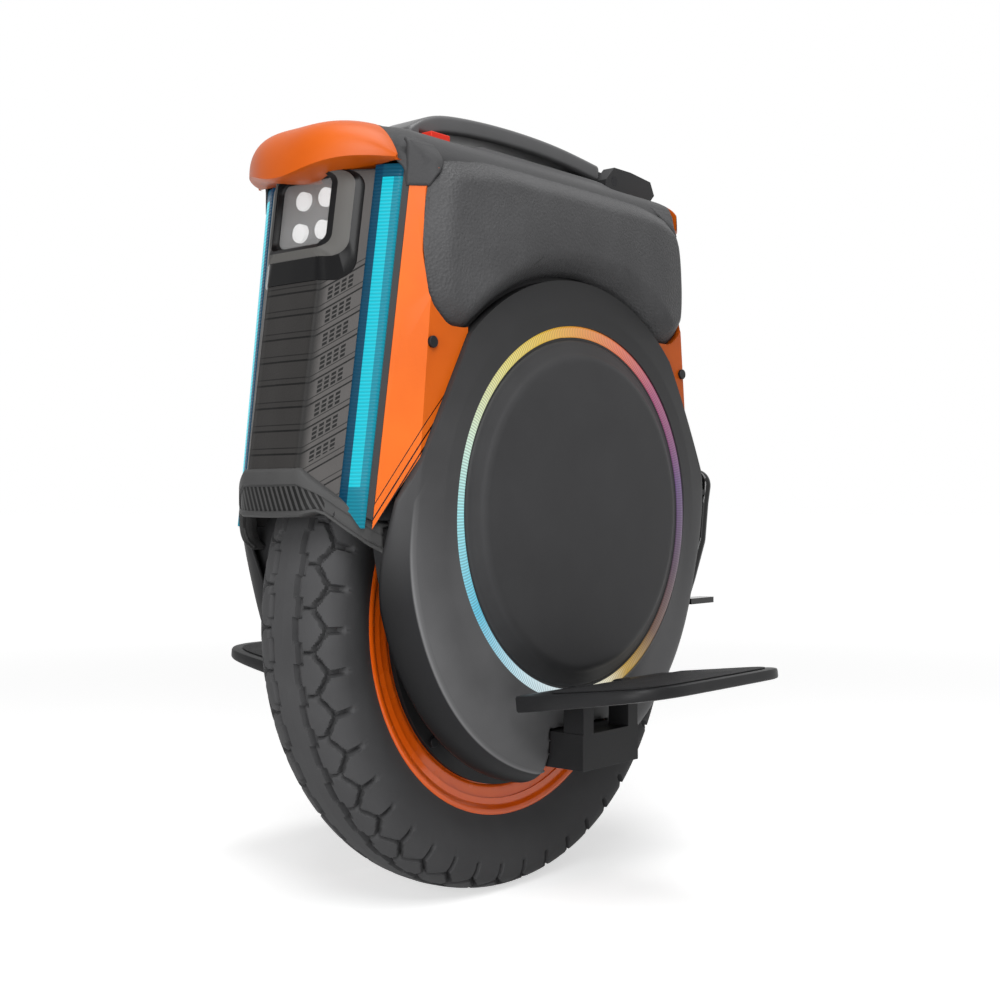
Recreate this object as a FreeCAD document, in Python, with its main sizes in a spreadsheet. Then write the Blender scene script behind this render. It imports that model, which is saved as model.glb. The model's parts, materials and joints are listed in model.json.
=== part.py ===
import FreeCAD, Part
import math
import os
import re
import Sketcher

# Electric unicycle. +X is forward, +Y is the rider's left and +Z is up, in millimetres.
# The origin is on the ground straight under the axle.

SIZES = (
    # clearances
    ("run_fit", 0.05, "radial clearance of a pin or shaft in its bore"),
    ("body_gap", 0.4, "clearance between pieces that move apart"),
    ("seam_gap", 0.6, "open seam between fixed skins"),
    ("skin_gap", 0.3, "clearance under a skin on a curved face"),
    ("overrun", 5, "how far a cut runs past what it cuts"),
    # tyre and rim
    ("tyre_r", 210, "outer radius of the tyre, and height of the axle"),
    ("tyre_half_w", 37, "half width of the tyre"),
    ("tread_depth", 6, "depth of the tread grooves"),
    ("tread_rib_half", 11, "half width of the centre rib of the tread"),
    ("tread_groove_w", 4, "width of the grooves round the tyre"),
    ("tread_slot_w", 5, "width of the grooves across the shoulders"),
    ("tread_pitches", 44, "number of tread blocks round the tyre"),
    ("lip_gap", 0.5, "gap between the tyre and the top of the rim flange"),
    ("bead_w", 8, "width of the tyre bead"),
    ("tube_mid_r", 170, "radius of the middle of the inner tube"),
    ("rim_r", 153, "outer radius of the rim flange"),
    ("rim_half_w", 25, "half width of the rim over its flanges"),
    ("rim_flange_t", 3, "thickness of the rim flange"),
    ("rim_lip", 5, "height of the flat on the flange's outer face"),
    ("rim_bed_r", 138, "radius of the rim bed"),
    ("rim_bed_half", 10, "half width of the rim bed"),
    ("rim_seat_rise", 3, "height of the bead seat over the rim bed"),
    ("rim_face_r", 131, "radius where the rim's sloped face ends"),
    ("rim_face_half", 19, "half width of the rim at that radius"),
    ("rotor_r", 118, "bore of the rim, where the magnets sit"),
    ("valve_place_r", 134.5, "distance of the valve from the axle"),
    ("valve_r", 3, "radius of the valve stem"),
    ("valve_in", 8, "inner end of the valve stem from the middle plane"),
    ("valve_out", 34, "outer end of the valve stem from the middle plane"),
    # motor
    ("magnet_t", 4, "thickness of the rotor magnets"),
    ("magnet_half", 16, "half width of the rotor magnets"),
    ("magnet_span", 7, "angle that one magnet takes up, degrees"),
    ("magnet_count", 40, "number of magnets"),
    ("air_gap", 0.8, "gap between magnets and stator"),
    ("cover_t", 4, "wall of the motor covers"),
    ("cover_step_r", 119, "radius where the cover's flange ends"),
    ("cover_dome_r", 114, "radius where the cover's dome begins"),
    ("cover_dome_y", 30, "height of the dome's edge from the middle plane"),
    ("hub_half", 34, "half width of the hub"),
    ("hub_boss_r", 28, "radius of the bearing boss"),
    ("bearing_r", 21, "outer radius of the wheel bearings"),
    ("bearing_w", 9, "width of the wheel bearings"),
    ("cover_screw_place_r", 124.5, "distance of the cover screws from the axle"),
    ("cover_screw_count", 8, "cover screws per side"),
    ("screw_r", 2, "shank radius of the screws"),
    ("screw_head_r", 4, "head radius of the screws"),
    ("screw_head_h", 2.5, "head height of the screws"),
    ("screw_grip", 12, "length of the screw shanks"),
    ("axle_r", 12.5, "radius of the axle in bearings and frame"),
    ("axle_end_r", 10, "radius of the axle's threaded ends"),
    ("axle_core_r", 20, "radius of the axle inside the stator"),
    ("axle_core_half", 18, "half length of that core"),
    ("axle_collar_r", 17, "radius of the collars against the frame"),
    ("axle_bore_r", 4.5, "bore for the motor cable"),
    ("axle_bore_end", 10, "inner end of the bore from the middle plane"),
    ("axle_tip", 2, "length of the axle past its nuts"),
    ("nut_t", 8, "thickness of the axle nuts"),
    ("nut_r", 17, "radius of the axle nuts"),
    ("stator_half", 16, "half width of the stator"),
    ("stator_ring_r", 80, "inner radius of the stator's iron ring"),
    ("stator_web_half", 5, "half thickness of the stator's web"),
    ("slot_floor_r", 88, "radius of the slot floors"),
    ("slot_w", 6, "width of the stator slots"),
    ("slot_count", 36, "number of stator slots"),
    ("coil_gap", 0.2, "gap between a coil and its slot"),
    ("coil_drop", 3, "depth of the coils below the stator's edge"),
    ("coil_half", 22, "half length of the coils"),
    # frame inside the casing
    ("frame_in", 47, "inner face of the frame plates"),
    ("frame_t", 5, "thickness of the frame plates"),
    ("frame_low_x", 50, "half width of the frame plate at its foot"),
    ("frame_low_z", 165, "foot of the frame plate"),
    ("frame_mid_x", 144, "half width of the frame plate at its widest"),
    ("frame_mid_z", 300, "lower end of that widest part"),
    ("frame_high_z", 440, "upper end of that widest part"),
    ("frame_top_x", 90, "half width of the frame plate at its top"),
    ("frame_top_z", 505, "top of the frame plate"),
    ("arch_clear", 8, "clearance between the tyre and the wheel arch"),
    ("arch_t", 3, "wall of the wheel arch"),
    ("arch_start", 20, "angle at which the wheel arch starts, degrees over level"),
    ("battery_half_x", 104, "half length of a battery pack"),
    ("battery_low_z", 300, "bottom of the battery packs"),
    ("battery_high_z", 478, "top of the battery packs"),
    ("battery_t", 24, "thickness of a battery pack"),
    ("sink_half_x", 70, "half length of the heat sink"),
    ("sink_low_z", 441, "lower end of the heat sink's fins"),
    ("sink_high_z", 470, "top of the heat sink"),
    ("sink_base_t", 6, "thickness of the heat sink's base"),
    ("sink_fin_t", 3, "thickness of the heat sink's fins"),
    ("sink_fins", 9, "number of fins"),
    ("board_t", 2, "thickness of the controller board"),
    ("board_margin", 4, "inset of the board from the heat sink's edges"),
    ("capacitor_r", 9, "radius of the capacitors"),
    ("capacitor_h", 22, "height of the capacitors"),
    ("cable_r", 3.5, "radius of the motor cable"),
    ("cable_back_x", 114, "how far back the cable runs past the battery"),
    ("cable_side_y", 66, "distance of the rising cable from the middle"),
    # casing
    ("disc_z", 287, "height of the side disc's middle"),
    ("shell_t", 3, "wall of the body shell"),
    ("shell_side_y", 80, "outer face of the body shell"),
    ("shell_top_z", 516, "top of the body shell"),
    ("shell_front_x", 140, "front of the body shell at lean_z"),
    ("lean_z", 507, "height at which the front outlines are stated"),
    ("lean_share", 0.1515, "how far the front comes forward per unit down"),
    ("pinch_share", 0.0208, "how far the front draws in at the light bars per unit down"),
    ("rear_short", 14, "how much nearer the rear end is than the front"),
    ("shell_open_r", 118, "radius of the opening behind the side disc"),
    ("rear_drop", 25, "how far the rear cover reaches below the disc's middle"),
    # lower cover, disc and light ring
    ("ring_in_r", 129.5, "inner radius of the light ring"),
    ("ring_out_r", 137.5, "outer radius of the light ring"),
    ("ring_t", 7.5, "depth of the light ring"),
    ("seat_t", 4, "thickness of the floor that ring and disc sit on"),
    ("seat_lap", 3.5, "width of the disc's seat"),
    ("dome_y", 92, "outermost face of the lower cover"),
    ("dome_mid_r", 171, "radius of the lower cover where the leg pad's arch passes"),
    ("dome_mid_y", 89, "height of the lower cover there"),
    ("dome_r", 182, "outermost radius of the lower cover's flat part"),
    ("dome_edge_t", 2, "thickness of the lower cover at that radius"),
    ("bowl_z", 262, "height of the middle of the lower cover's round edge"),
    ("bowl_w", 36, "width over which the lower cover curves inward"),
    ("bowl_mid_w", 16, "distance from the edge half way along that curve"),
    ("bowl_mid_y", 86, "height of the lower cover there"),
    ("bowl_turn_w", 5, "distance from the edge where that curve ends"),
    ("bowl_turn_y", 79, "height of the lower cover there"),
    ("bowl_r", 176, "outermost radius of the lower cover"),
    ("bowl_edge_y", 66, "height of the lower cover at that radius"),
    ("bowl_lip_y", 58, "inner edge of the lower cover"),
    ("dome_t", 4, "wall of the lower cover"),
    ("disc_face_y", 98, "face of the side disc"),
    ("disc_flat_r", 113, "radius of the side disc's flat face"),
    ("disc_edge_t", 5, "thickness of the side disc at its edge"),
    ("disc_t", 5, "thickness of the side disc's plate"),
    ("disc_rim_r", 116, "inner radius of the side disc's rim"),
    ("notch_gap", 2, "clearance round the pedal hanger in the covers"),
    ("split_x", 121, "where the side panel meets pad and lower cover"),
    ("split_low_x", 200, "front end of the line between side panel and lower cover"),
    ("split_low_z", 262, "height of that end"),
    # leg pad
    ("pad_front_x", 158.5, "front of the leg pad"),
    ("pad_back_x", 146, "rear of the leg pad"),
    ("pad_arc_r", 174, "radius of the leg pad's arch over the disc"),
    ("pad_corner_x", 120, "where that arch ends at the front"),
    ("pad_back_corner_x", 108, "where that arch ends at the rear"),
    ("pad_top_z", 531, "top of the leg pad"),
    ("pad_t", 21, "thickness of the leg pad"),
    ("pad_soft", 15.5, "how far the pad's crown draws in at its edge"),
    ("pad_round", 16, "corner radius of the pad's outline"),
    # front
    ("front_x", 192, "front face of the middle of the front panel at lean_z"),
    ("front_half_y", 25, "half width of that face"),
    ("valley_x", 189, "front panel beside that face"),
    ("valley_y", 28.5, "half width there"),
    ("bar_in_x", 174.5, "inner edge of the light bar"),
    ("bar_in_y", 51, "half distance between the light bars' inner edges"),
    ("bar_out_x", 165.5, "outer edge of the light bar"),
    ("bar_out_y", 68.5, "half distance between the light bars' outer edges"),
    ("bar_t", 6, "depth of the light bars"),
    ("border_x", 162.5, "front corner of the panel's border"),
    ("border_y", 71.5, "half width of the front panel"),
    ("front_t", 3, "wall of the front panel"),
    ("front_side_t", 9, "wall of the front panel beside the light bars"),
    ("bezel_t", 1.5, "thickness of the headlight bezel"),
    ("bezel_low_z", 452, "lower edge of the headlight bezel"),
    ("lens_half_y", 25, "half width of the headlight lens"),
    ("lens_low_z", 468, "lower edge of the headlight lens"),
    ("lens_high_z", 512.5, "upper edge of the headlight lens"),
    ("lens_x", 186.5, "face of the headlight lens at lean_z"),
    ("lens_t", 3, "thickness of the headlight lens"),
    ("led_r", 6.5, "radius of the headlight's LEDs"),
    ("led_pitch", 22.5, "spacing of the LEDs, both ways"),
    ("led_t", 5, "depth of the LEDs"),
    ("housing_t", 2, "wall of the headlight housing"),
    # nose guard
    ("nose_x", 224, "front of the nose guard"),
    ("nose_half_y", 27, "half width of that front"),
    ("nose_corner_x", 195.5, "outer corner of the nose guard"),
    ("nose_corner_y", 60, "half width at that corner"),
    ("nose_back_x", 182, "rear edge of the nose guard"),
    ("nose_side_y", 66, "half width of the nose guard at its rear edge"),
    ("nose_top_z", 317, "top of the nose guard in the middle"),
    ("nose_corner_z", 288, "top of the nose guard at its corner"),
    ("nose_side_z", 279, "top of the nose guard at its side"),
    ("nose_low_z", 263, "bottom of the nose guard"),
    ("nose_arch_z", 284, "top of the opening over the tyre"),
    ("nose_t", 4, "wall of the nose guard"),
    # orange side panels
    ("panel_y", 85.5, "outer face of the side panels"),
    ("panel_flat_x", 149, "where the panel's chamfer meets that face, at lean_z"),
    ("panel_screw_x", 156, "place of the panel screws"),
    ("panel_screw_z", 400, "height of the panel screws"),
    # top
    ("hood_back_x", 143, "rear edge of the visor in the middle"),
    ("hood_front_x", 216, "front of the visor"),
    ("hood_tip_x", 172, "side tips of the visor"),
    ("hood_half_y", 70, "half width of the visor"),
    ("hood_low_z", 510, "lower lip of the visor in the middle"),
    ("hood_tip_z", 521, "height of the side tips of the visor"),
    ("hood_top_z", 550, "top of the visor"),
    ("tail_front_x", 160, "where top cover and tail cap meet"),
    ("tail_back_x", 206, "rear end of the tail cap"),
    ("tail_half_y", 66, "half width of the tail cap"),
    ("tail_top_z", 551, "top of the tail cap"),
    ("top_side_y", 78, "half width of the top cover"),
    ("top_side_z", 524, "where the top cover's sides begin to slope"),
    ("top_mid_y", 64, "half width of the top cover half way up"),
    ("top_mid_z", 541, "height there"),
    ("top_flat_y", 36, "half width of the top cover's flat"),
    ("top_z", 553, "top of the top cover"),
    ("top_t", 3, "wall of the top cover"),
    ("well_front_x", 68, "front of the finger well"),
    ("well_back_x", 100, "rear of the finger well"),
    ("well_half_y", 30, "half width of the finger well"),
    ("well_z", 532, "floor of the finger well"),
    ("button_x", 122, "place of the power button"),
    ("button_r", 8, "radius of the power button"),
    ("button_h", 2.5, "height of the power button over the cover"),
    ("button_flange", 2, "how far the button's flange reaches out"),
    # handle
    ("handle_half_y", 19, "half width of the handle"),
    ("handle_top_z", 585, "top of the handle"),
    ("handle_t", 14, "thickness of the handle"),
    ("handle_foot_x", 108, "front end of the handle"),
    ("handle_foot_t", 8, "thickness of the handle's foot"),
    ("pivot_x", 138, "distance of the handle's pin behind the axle"),
    ("pivot_z", 567, "height of the handle's pin"),
    ("pivot_r", 4, "radius of the handle's pin"),
    ("knuckle_half_y", 10, "half width of the handle's knuckle"),
    ("knuckle_r", 9, "radius of the handle's knuckle"),
    ("shoulder_r", 16.5, "distance from the pin to the handle's full width"),
    ("ear_round", 12, "radius of the handle block's ears"),
    ("block_end_x", 198, "rear end of the handle block"),
    ("block_half_y", 22, "half width of the handle block"),
    ("block_top_z", 576, "top of the handle block"),
    ("tab_half_y", 31, "half length of the release tab"),
    ("tab_back_x", 78, "rear edge of the release tab"),
    ("tab_front_x", 98, "front edge of the release tab"),
    ("tab_h", 7, "height of the release tab"),
    ("tab_travel", 4, "travel of the release tab"),
    ("tab_stem_half", 4, "half width of the tab's stem"),
    # rear
    ("tail_light_half_y", 20, "half width of the tail light"),
    ("tail_light_low_z", 462, "lower edge of the tail light"),
    ("tail_light_high_z", 486, "upper edge of the tail light"),
    ("tail_light_t", 2.5, "depth of the tail light"),
    ("port_z", 405, "height of the charge port"),
    ("port_x", 201, "seat of the charge port's flange behind the axle"),
    ("port_bore_r", 8, "bore of the charge port"),
    ("port_r", 11, "outer radius of the charge port's sleeve"),
    ("port_flange_r", 14, "radius of the charge port's flange"),
    ("port_flange_t", 4, "thickness of the charge port's flange"),
    ("port_len", 22, "length of the charge port's sleeve"),
    ("cap_t", 3, "thickness of the charge port's cap"),
    ("cap_pin_r", 1.5, "radius of the cap's hinge pin"),
    ("cap_barrel_r", 3, "radius of the cap's hinge barrel"),
    ("cap_barrel_half", 5, "half length of the cap's hinge barrel"),
    ("cap_ear_t", 3, "thickness of the ears that hold the cap's pin"),
    # pedals
    ("hanger_t", 12, "thickness of the pedal hangers"),
    ("hanger_half_x", 34, "half width of the pedal hangers"),
    ("hanger_top_z", 240, "top of the pedal hangers"),
    ("arm_low_z", 104, "bottom of the hanger's arm"),
    ("arm_high_z", 130, "top of the hanger's arm"),
    ("hinge_y", 109, "distance of the pedal hinge from the middle"),
    ("hinge_z", 155, "height of the pedal hinge"),
    ("hinge_pin_r", 4, "radius of the pedal pins"),
    ("hinge_ear_r", 9, "radius of the hanger's ears"),
    ("hinge_ear_t", 12, "thickness of the hanger's ears"),
    ("hinge_half_x", 21, "half width of the pedal's knuckle"),
    ("hinge_knuckle_r", 8, "radius of the pedal's knuckle"),
    ("pedal_in", 6, "how far the pedal reaches inward of its hinge"),
    ("pedal_out", 112, "how far the pedal reaches outward of its hinge"),
    ("pedal_front_x", 97, "front of the pedal at its outer edge"),
    ("pedal_front_in_x", 89, "front of the pedal at its inner edge"),
    ("pedal_back_x", 86, "rear of the pedal"),
    ("pedal_round", 16, "corner radius of the pedal"),
    ("pedal_top", 8, "top of the pedal over its hinge"),
    ("pedal_t", 12, "thickness of the pedal at its inner edge"),
    ("pedal_edge_t", 7.5, "thickness of the pedal at its outer edge"),
    ("pedal_tilt", 7, "upward tilt of the pedal, degrees"),
    ("pedal_relief", 1.5, "clearance round the hanger's ears in the pedal"),
    ("grip_t", 1.2, "thickness of the pedal's grip sheet"),
    ("grip_margin", 9, "inset of the grip sheet from the pedal's edges"),
    # kickstand
    ("kick_x", 163, "distance of the kickstand's pivot behind the axle"),
    ("kick_z", 160, "height of the kickstand's pivot"),
    ("kick_y", 58, "distance of the kickstand's legs from the middle"),
    ("kick_len", 160, "height of the folded kickstand over its pivot"),
    ("kick_rod_r", 4.5, "radius of the kickstand's rod"),
    ("kick_pin_r", 4, "radius of the kickstand's pivots"),
    ("kick_bracket_y", 48, "inner face of the kickstand brackets"),
    ("kick_bracket_t", 5, "thickness of the kickstand brackets"),
    ("kick_bracket_w", 24, "width of the kickstand brackets"),
    ("kick_boss_r", 10, "radius of the bracket round the pivot"),
    ("kick_bend", 14, "bend radius of the kickstand's rod"),
    ("kick_tab_len", 36, "length of the kickstand's foot tab"),
    ("kick_tab_w", 14, "width of the kickstand's foot tab"),
    ("kick_tab_t", 5, "thickness of the kickstand's foot tab"),
)

# Tyre section from the crown to the rim: share of the height over the flange, share of the half width.
TYRE_OUTER_SHARES = ((1.0, 0.0), (0.985, 0.34), (0.94, 0.62), (0.85, 0.86), (0.74, 0.97),
                     (0.6, 1.0), (0.4, 0.95), (0.2, 0.82), (0.06, 0.69))
TYRE_INNER_SHARES = ((0.1, 0.42), (0.3, 0.68), (0.55, 0.8), (0.68, 0.7), (0.75, 0.45), (0.77, 0.0))
TREAD_EDGE_SHARES = TYRE_OUTER_SHARES[1:6]
# The tube's air space, as a share of the tube's section.
TUBE_AIR_SHARE = 0.86
# Leg pad outline past its arch: share of the length past the arch's end, share of the height over it.
PAD_EDGE_SHARES = ((0.5, 0.0), (0.95, 0.12), (1.0, 0.4), (0.9, 0.76), (0.62, 0.93), (-0.6, 0.985))
# Where the arch's own points stand along it.
PAD_ARC_SHARES = (0.0, 0.35, 0.7)
# Leg pad from its back to its crown: share of its thickness, share of the draw-in, rear length that is left.
PAD_LEVEL_SHARES = ((0.0, 0.05, 0.98), (0.12, 0.0, 1.0), (0.3, 0.2, 0.98), (0.5, 0.45, 0.94),
                    (0.72, 0.7, 0.9), (0.9, 0.9, 0.86), (1.0, 1.0, 0.84))
# Visor from its middle to its side tip: shares of the half width, of the way to the tip along its rear
# edge and its front, of the way to the tip's height along its lip, and of the height that is left.
HOOD_SECTION_SHARES = ((0.0, 0.0, 0.0, 0.0, 1.0), (0.2, 0.45, 0.05, 0.3, 0.95), (0.4, 0.72, 0.2, 0.72, 0.83),
                       (0.6, 0.86, 0.42, 0.9, 0.68), (0.8, 0.95, 0.7, 0.97, 0.45),
                       (1.0, 1.0, 0.97, 1.0, 0.12))
# One section of the visor: share of its length, share of its height.
HOOD_EDGE_SHARES = ((0.0, 0.0), (0.0, 0.9), (0.3, 1.0), (0.58, 0.93), (0.82, 0.74), (0.96, 0.48), (1.0, 0.25),
                    (0.97, 0.07), (0.9, 0.0))
# Tail cap outline from its front edge to its end: share of the length, share of the half width.
TAIL_EDGE_SHARES = ((0.0, 0.86), (0.27, 0.8), (0.5, 0.68), (0.76, 0.5), (0.95, 0.26))
# Tail cap from its underside to its top: share of the height, of the length and of the half width.
TAIL_LEVEL_SHARES = ((0.0, 0.9, 0.97), (0.2, 1.0, 1.0), (0.55, 0.97, 0.97), (0.8, 0.86, 0.9),
                     (0.94, 0.7, 0.76), (1.0, 0.5, 0.55))
# Handle's arch from its foot to its rear: share of the length, share of the rise to its top.
HANDLE_TOP_SHARES = ((0.0, 0.33), (0.07, 0.64), (0.16, 0.84), (0.32, 0.96), (0.52, 1.0), (0.73, 0.94))
# Kickstand's leg from its pivot: share of the height backward, share of the height upward.
KICK_LEG_SHARES = ((0.1, 0.22), (0.23, 0.44), (0.33, 0.64), (0.36, 0.84), (0.4, 1.0))
# Where the foot tab stands on the leg.
KICK_TAB_SHARES = (0.17, 0.3)
# A cable's bends take this share of the shorter run beside them.
BEND_SHARE = 0.45
QUARTER_TURN = 90
FULL_TURN = 360

doc = FreeCAD.newDocument("electric_unicycle")
sheet = doc.addObject("Spreadsheet::Sheet", "Sizes")
for row, (size_name, number, meaning) in enumerate(SIZES, start=1):
    sheet.set("A%d" % row, meaning)
    sheet.set("B%d" % row, str(number))
    sheet.setAlias("B%d" % row, size_name)
doc.recompute()

NAMES = {entry[0] for entry in SIZES}
WORD = re.compile(r"[a-z][a-z0-9_]*")
SUBPARTS = []


def Vec(x=0, y=0, z=0):
    """A vector."""
    return FreeCAD.Vector(x, y, z)


def bound(text):
    """The formula with each size's name replaced by its cell."""
    return WORD.sub(lambda word: "Sizes." + word.group() if word.group() in NAMES else word.group(), text)


def value(text):
    """The number that a formula of the sheet gives now."""
    return float(sheet.evalExpression(bound(text).replace("Sizes.", "")))


def bind(thing, prop, text):
    """Ties a property to a formula of the sheet."""
    if text == "0":
        return
    thing.setExpression(prop, bound(text))


def place(thing, at):
    """Ties a thing's place to three formulas."""
    for axis, text in zip("xyz", at):
        bind(thing, ".Placement.Base." + axis, text)


def minus(text):
    """The formula with its sign turned."""
    return "0" if text == "0" else "-(%s)" % text


def both_sides(half):
    """A section that is alike on both sides of the middle plane, from one half of it."""
    other = [(r, minus(y)) for r, y in reversed(half) if y != "0"]
    return list(half) + other


def keep(thing, label):
    """Makes a thing one of the sub-parts."""
    thing.Label = label
    SUBPARTS.append(thing)
    return thing


def draw(sketch, loops):
    """Draws closed loops whose points are pairs of formulas, each point held by two dimensions.

    A third item is the radius of the arc from that point to the next, which turns left if the
    fourth item is 1 and right if it is -1.
    """
    for points in loops:
        spots = [Vec(value(point[0]), value(point[1])) for point in points]
        first = sketch.GeometryCount
        ends = []
        for i, point in enumerate(points):
            a = spots[i]
            b = spots[(i + 1) % len(points)]
            if len(point) == 2:
                sketch.addGeometry(Part.LineSegment(a, b), False)
                ends.append((1, 2))
                continue
            radius = value(point[2])
            chord = b - a
            left = Vec(-chord.y, chord.x) / chord.Length
            rise = math.sqrt(radius ** 2 - (chord.Length / 2) ** 2)
            middle = (a + b) / 2 + left * rise * point[3]
            start, stop = (a, b) if point[3] > 0 else (b, a)
            angles = [math.atan2((spot - middle).y, (spot - middle).x) for spot in (start, stop)]
            if angles[1] < angles[0]:
                angles[1] += 2 * math.pi
            circle = Part.Circle(middle, Vec(0, 0, 1), radius)
            sketch.addGeometry(Part.ArcOfCircle(circle, angles[0], angles[1]), False)
            ends.append((1, 2) if point[3] > 0 else (2, 1))
        rules = []
        ties = []
        for i, point in enumerate(points):
            after = (i + 1) % len(points)
            rules.append(Sketcher.Constraint("Coincident", first + i, ends[i][1], first + after,
                                             ends[after][0]))
            for kind, number, text in (("DistanceX", spots[i].x, point[0]),
                                       ("DistanceY", spots[i].y, point[1])):
                ties.append((len(rules), text))
                rules.append(Sketcher.Constraint(kind, -1, 1, first + i, ends[i][0], number))
            if len(point) > 2:
                ties.append((len(rules), point[2]))
                rules.append(Sketcher.Constraint("Radius", first + i, value(point[2])))
        offset = sketch.ConstraintCount
        sketch.addConstraint(rules)
        for index, text in ties:
            bind(sketch, "Constraints[%d]" % (offset + index), text)


def origin_feature(body, role):
    """One of a body's own planes or axes."""
    return [feature for feature in body.Origin.OriginFeatures if feature.Role == role][0]


def body_sketch(body, name, plane, loops):
    """A sketch on one of a body's own planes."""
    sketch = body.newObject("Sketcher::SketchObject", name)
    sketch.AttachmentSupport = [(origin_feature(body, plane), "")]
    sketch.MapMode = "FlatFace"
    draw(sketch, loops)
    return sketch


def turned(name, loops, height, angle=FULL_TURN):
    """A body turned about the line along Y at a height; points are (radius, y)."""
    body = doc.addObject("PartDesign::Body", name)
    place(body, ("0", "0", height))
    sketch = body_sketch(body, name + "_section", "XY_Plane", loops)
    turn = body.newObject("PartDesign::Revolution", name + "_turn")
    turn.Profile = sketch
    turn.ReferenceAxis = (sketch, ["V_Axis"])
    turn.Angle = FULL_TURN
    if angle != FULL_TURN:
        bind(turn, "Angle", angle)
    return body


def padded(name, loops, height, half):
    """A body padded both ways from its XZ plane; points are (x, z) from the axle line."""
    body = doc.addObject("PartDesign::Body", name)
    place(body, ("0", "0", height))
    sketch = body_sketch(body, name + "_section", "XZ_Plane", loops)
    pad = body.newObject("PartDesign::Pad", name + "_pad")
    pad.Profile = sketch
    pad.SideType = "Symmetric"
    bind(pad, "Length", "2 * (%s)" % half)
    return body


def pocketed(body, name, plane, loops, length):
    """Cuts a pocket both ways from one of a body's planes."""
    sketch = body_sketch(body, name + "_section", plane, loops)
    pocket = body.newObject("PartDesign::Pocket", name)
    pocket.Profile = sketch
    pocket.SideType = "Symmetric"
    bind(pocket, "Length", length)
    return pocket


def repeated(body, features, count):
    """Repeats features round the body's Y axis."""
    doc.recompute()
    pattern = body.newObject("PartDesign::PolarPattern", body.Name + "_pattern")
    pattern.Originals = features
    pattern.Axis = (origin_feature(body, "Y_Axis"), [""])
    pattern.Angle = FULL_TURN
    bind(pattern, "Occurrences", count)
    body.Tip = pattern


PLANES = {
    "XY": (FreeCAD.Rotation(), Vec(0, 0, 1), "z"),
    "XZ": (FreeCAD.Rotation(Vec(1, 0, 0), QUARTER_TURN), Vec(0, 1, 0), "y"),
    "YZ": (FreeCAD.Rotation(Vec(1, 1, 1), FULL_TURN / 3), Vec(1, 0, 0), "x"),
}


def outline(name, plane, loops, start):
    """A sketch on a plane of the whole object."""
    sketch = doc.addObject("Sketcher::SketchObject", name + "_outline")
    sketch.Placement = FreeCAD.Placement(Vec(), PLANES[plane][0])
    bind(sketch, ".Placement.Base." + PLANES[plane][2], start)
    draw(sketch, loops)
    return sketch


def prism(name, plane, points, start, end):
    """A solid of one outline from one place to another along the plane's normal."""
    solid = doc.addObject("Part::Extrusion", name)
    solid.Base = outline(name, plane, [points], start)
    solid.DirMode = "Custom"
    solid.Dir = PLANES[plane][1]
    solid.Solid = True
    bind(solid, "LengthFwd", "(%s) - (%s)" % (end, start))
    return solid


def lean_outline(name, points, height):
    """A plan, stated at lean_z, moved forward and drawn in to where it is at a height."""
    down = "(lean_z - (%s))" % height
    moved = [("%s + %s * (lean_share - pinch_share * abs(%s) / bar_out_y)" % (x, down, y),
              "0" if y == "0" else "(%s) * (1 - %s * pinch_share / bar_out_y)" % (y, down)) for x,
             y in points]
    return outline(name, "XY", [moved], height)


def leaning(name, points, low, high):
    """A solid between two heights whose plan moves forward and draws in as it goes down."""
    solid = doc.addObject("Part::Loft", name)
    solid.Sections = [lean_outline(name + "_low", points, low), lean_outline(name + "_high", points, high)]
    solid.Solid = True
    solid.Ruled = True
    return solid


def block(name, x, y, z):
    """A box between two formulas each way."""
    box = doc.addObject("Part::Box", name)
    for prop, (low, high) in zip(("Length", "Width", "Height"), (x, y, z)):
        bind(box, prop, "(%s) - (%s)" % (high, low))
    place(box, (x[0], y[0], z[0]))
    return box


ROD_TURNS = {
    "X": FreeCAD.Rotation(Vec(0, 1, 0), QUARTER_TURN),
    "Y": FreeCAD.Rotation(Vec(1, 0, 0), -QUARTER_TURN),
    "Z": FreeCAD.Rotation(),
}


def rod(name, axis, radius, length, at):
    """A cylinder along an axis."""
    cylinder = doc.addObject("Part::Cylinder", name)
    bind(cylinder, "Radius", radius)
    bind(cylinder, "Height", length)
    cylinder.Placement = FreeCAD.Placement(Vec(), ROD_TURNS[axis])
    place(cylinder, at)
    return cylinder


def joined(name, *pieces):
    """One solid of several that overlap or touch."""
    fusion = doc.addObject("Part::MultiFuse", name)
    fusion.Shapes = list(pieces)
    return fusion


def cut(name, base, *tools):
    """A solid with others taken out of it."""
    result = doc.addObject("Part::Cut", name)
    result.Base = base
    result.Tool = tools[0] if len(tools) == 1 else joined(name + "_tools", *tools)
    return result


def shared(name, *pieces):
    """What several solids have in common."""
    result = doc.addObject("Part::MultiCommon", name)
    result.Shapes = list(pieces)
    return result


def mirror(name, source, normal):
    """The mirror image of a solid about a plane through the origin."""
    image = doc.addObject("Part::Mirroring", name)
    image.Source = source
    image.Normal = normal
    return image


def to_rear(name, source):
    """A solid made at the front, turned to the rear end, which is nearer by rear_short."""
    image = mirror(name, source, FRONT_REAR)
    bind(image, "Base.x", "rear_short / 2")
    return image


def group(name, *pieces):
    """Several separate solids as one sub-part."""
    compound = doc.addObject("Part::Compound", name)
    compound.Links = list(pieces)
    return compound


LEFT_RIGHT = Vec(0, 1, 0)
FRONT_REAR = Vec(1, 0, 0)


def keep_pair(left, name):
    """A left piece and its mirror image as two sub-parts."""
    keep(left, name + "_left")
    keep(mirror(name + "_right", left, LEFT_RIGHT), name + "_right")


def keep_twins(left, name):
    """A left piece and its mirror image as one sub-part."""
    image = mirror(name + "_image", left, LEFT_RIGHT)
    return keep(group(name, left, image), name)


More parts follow.
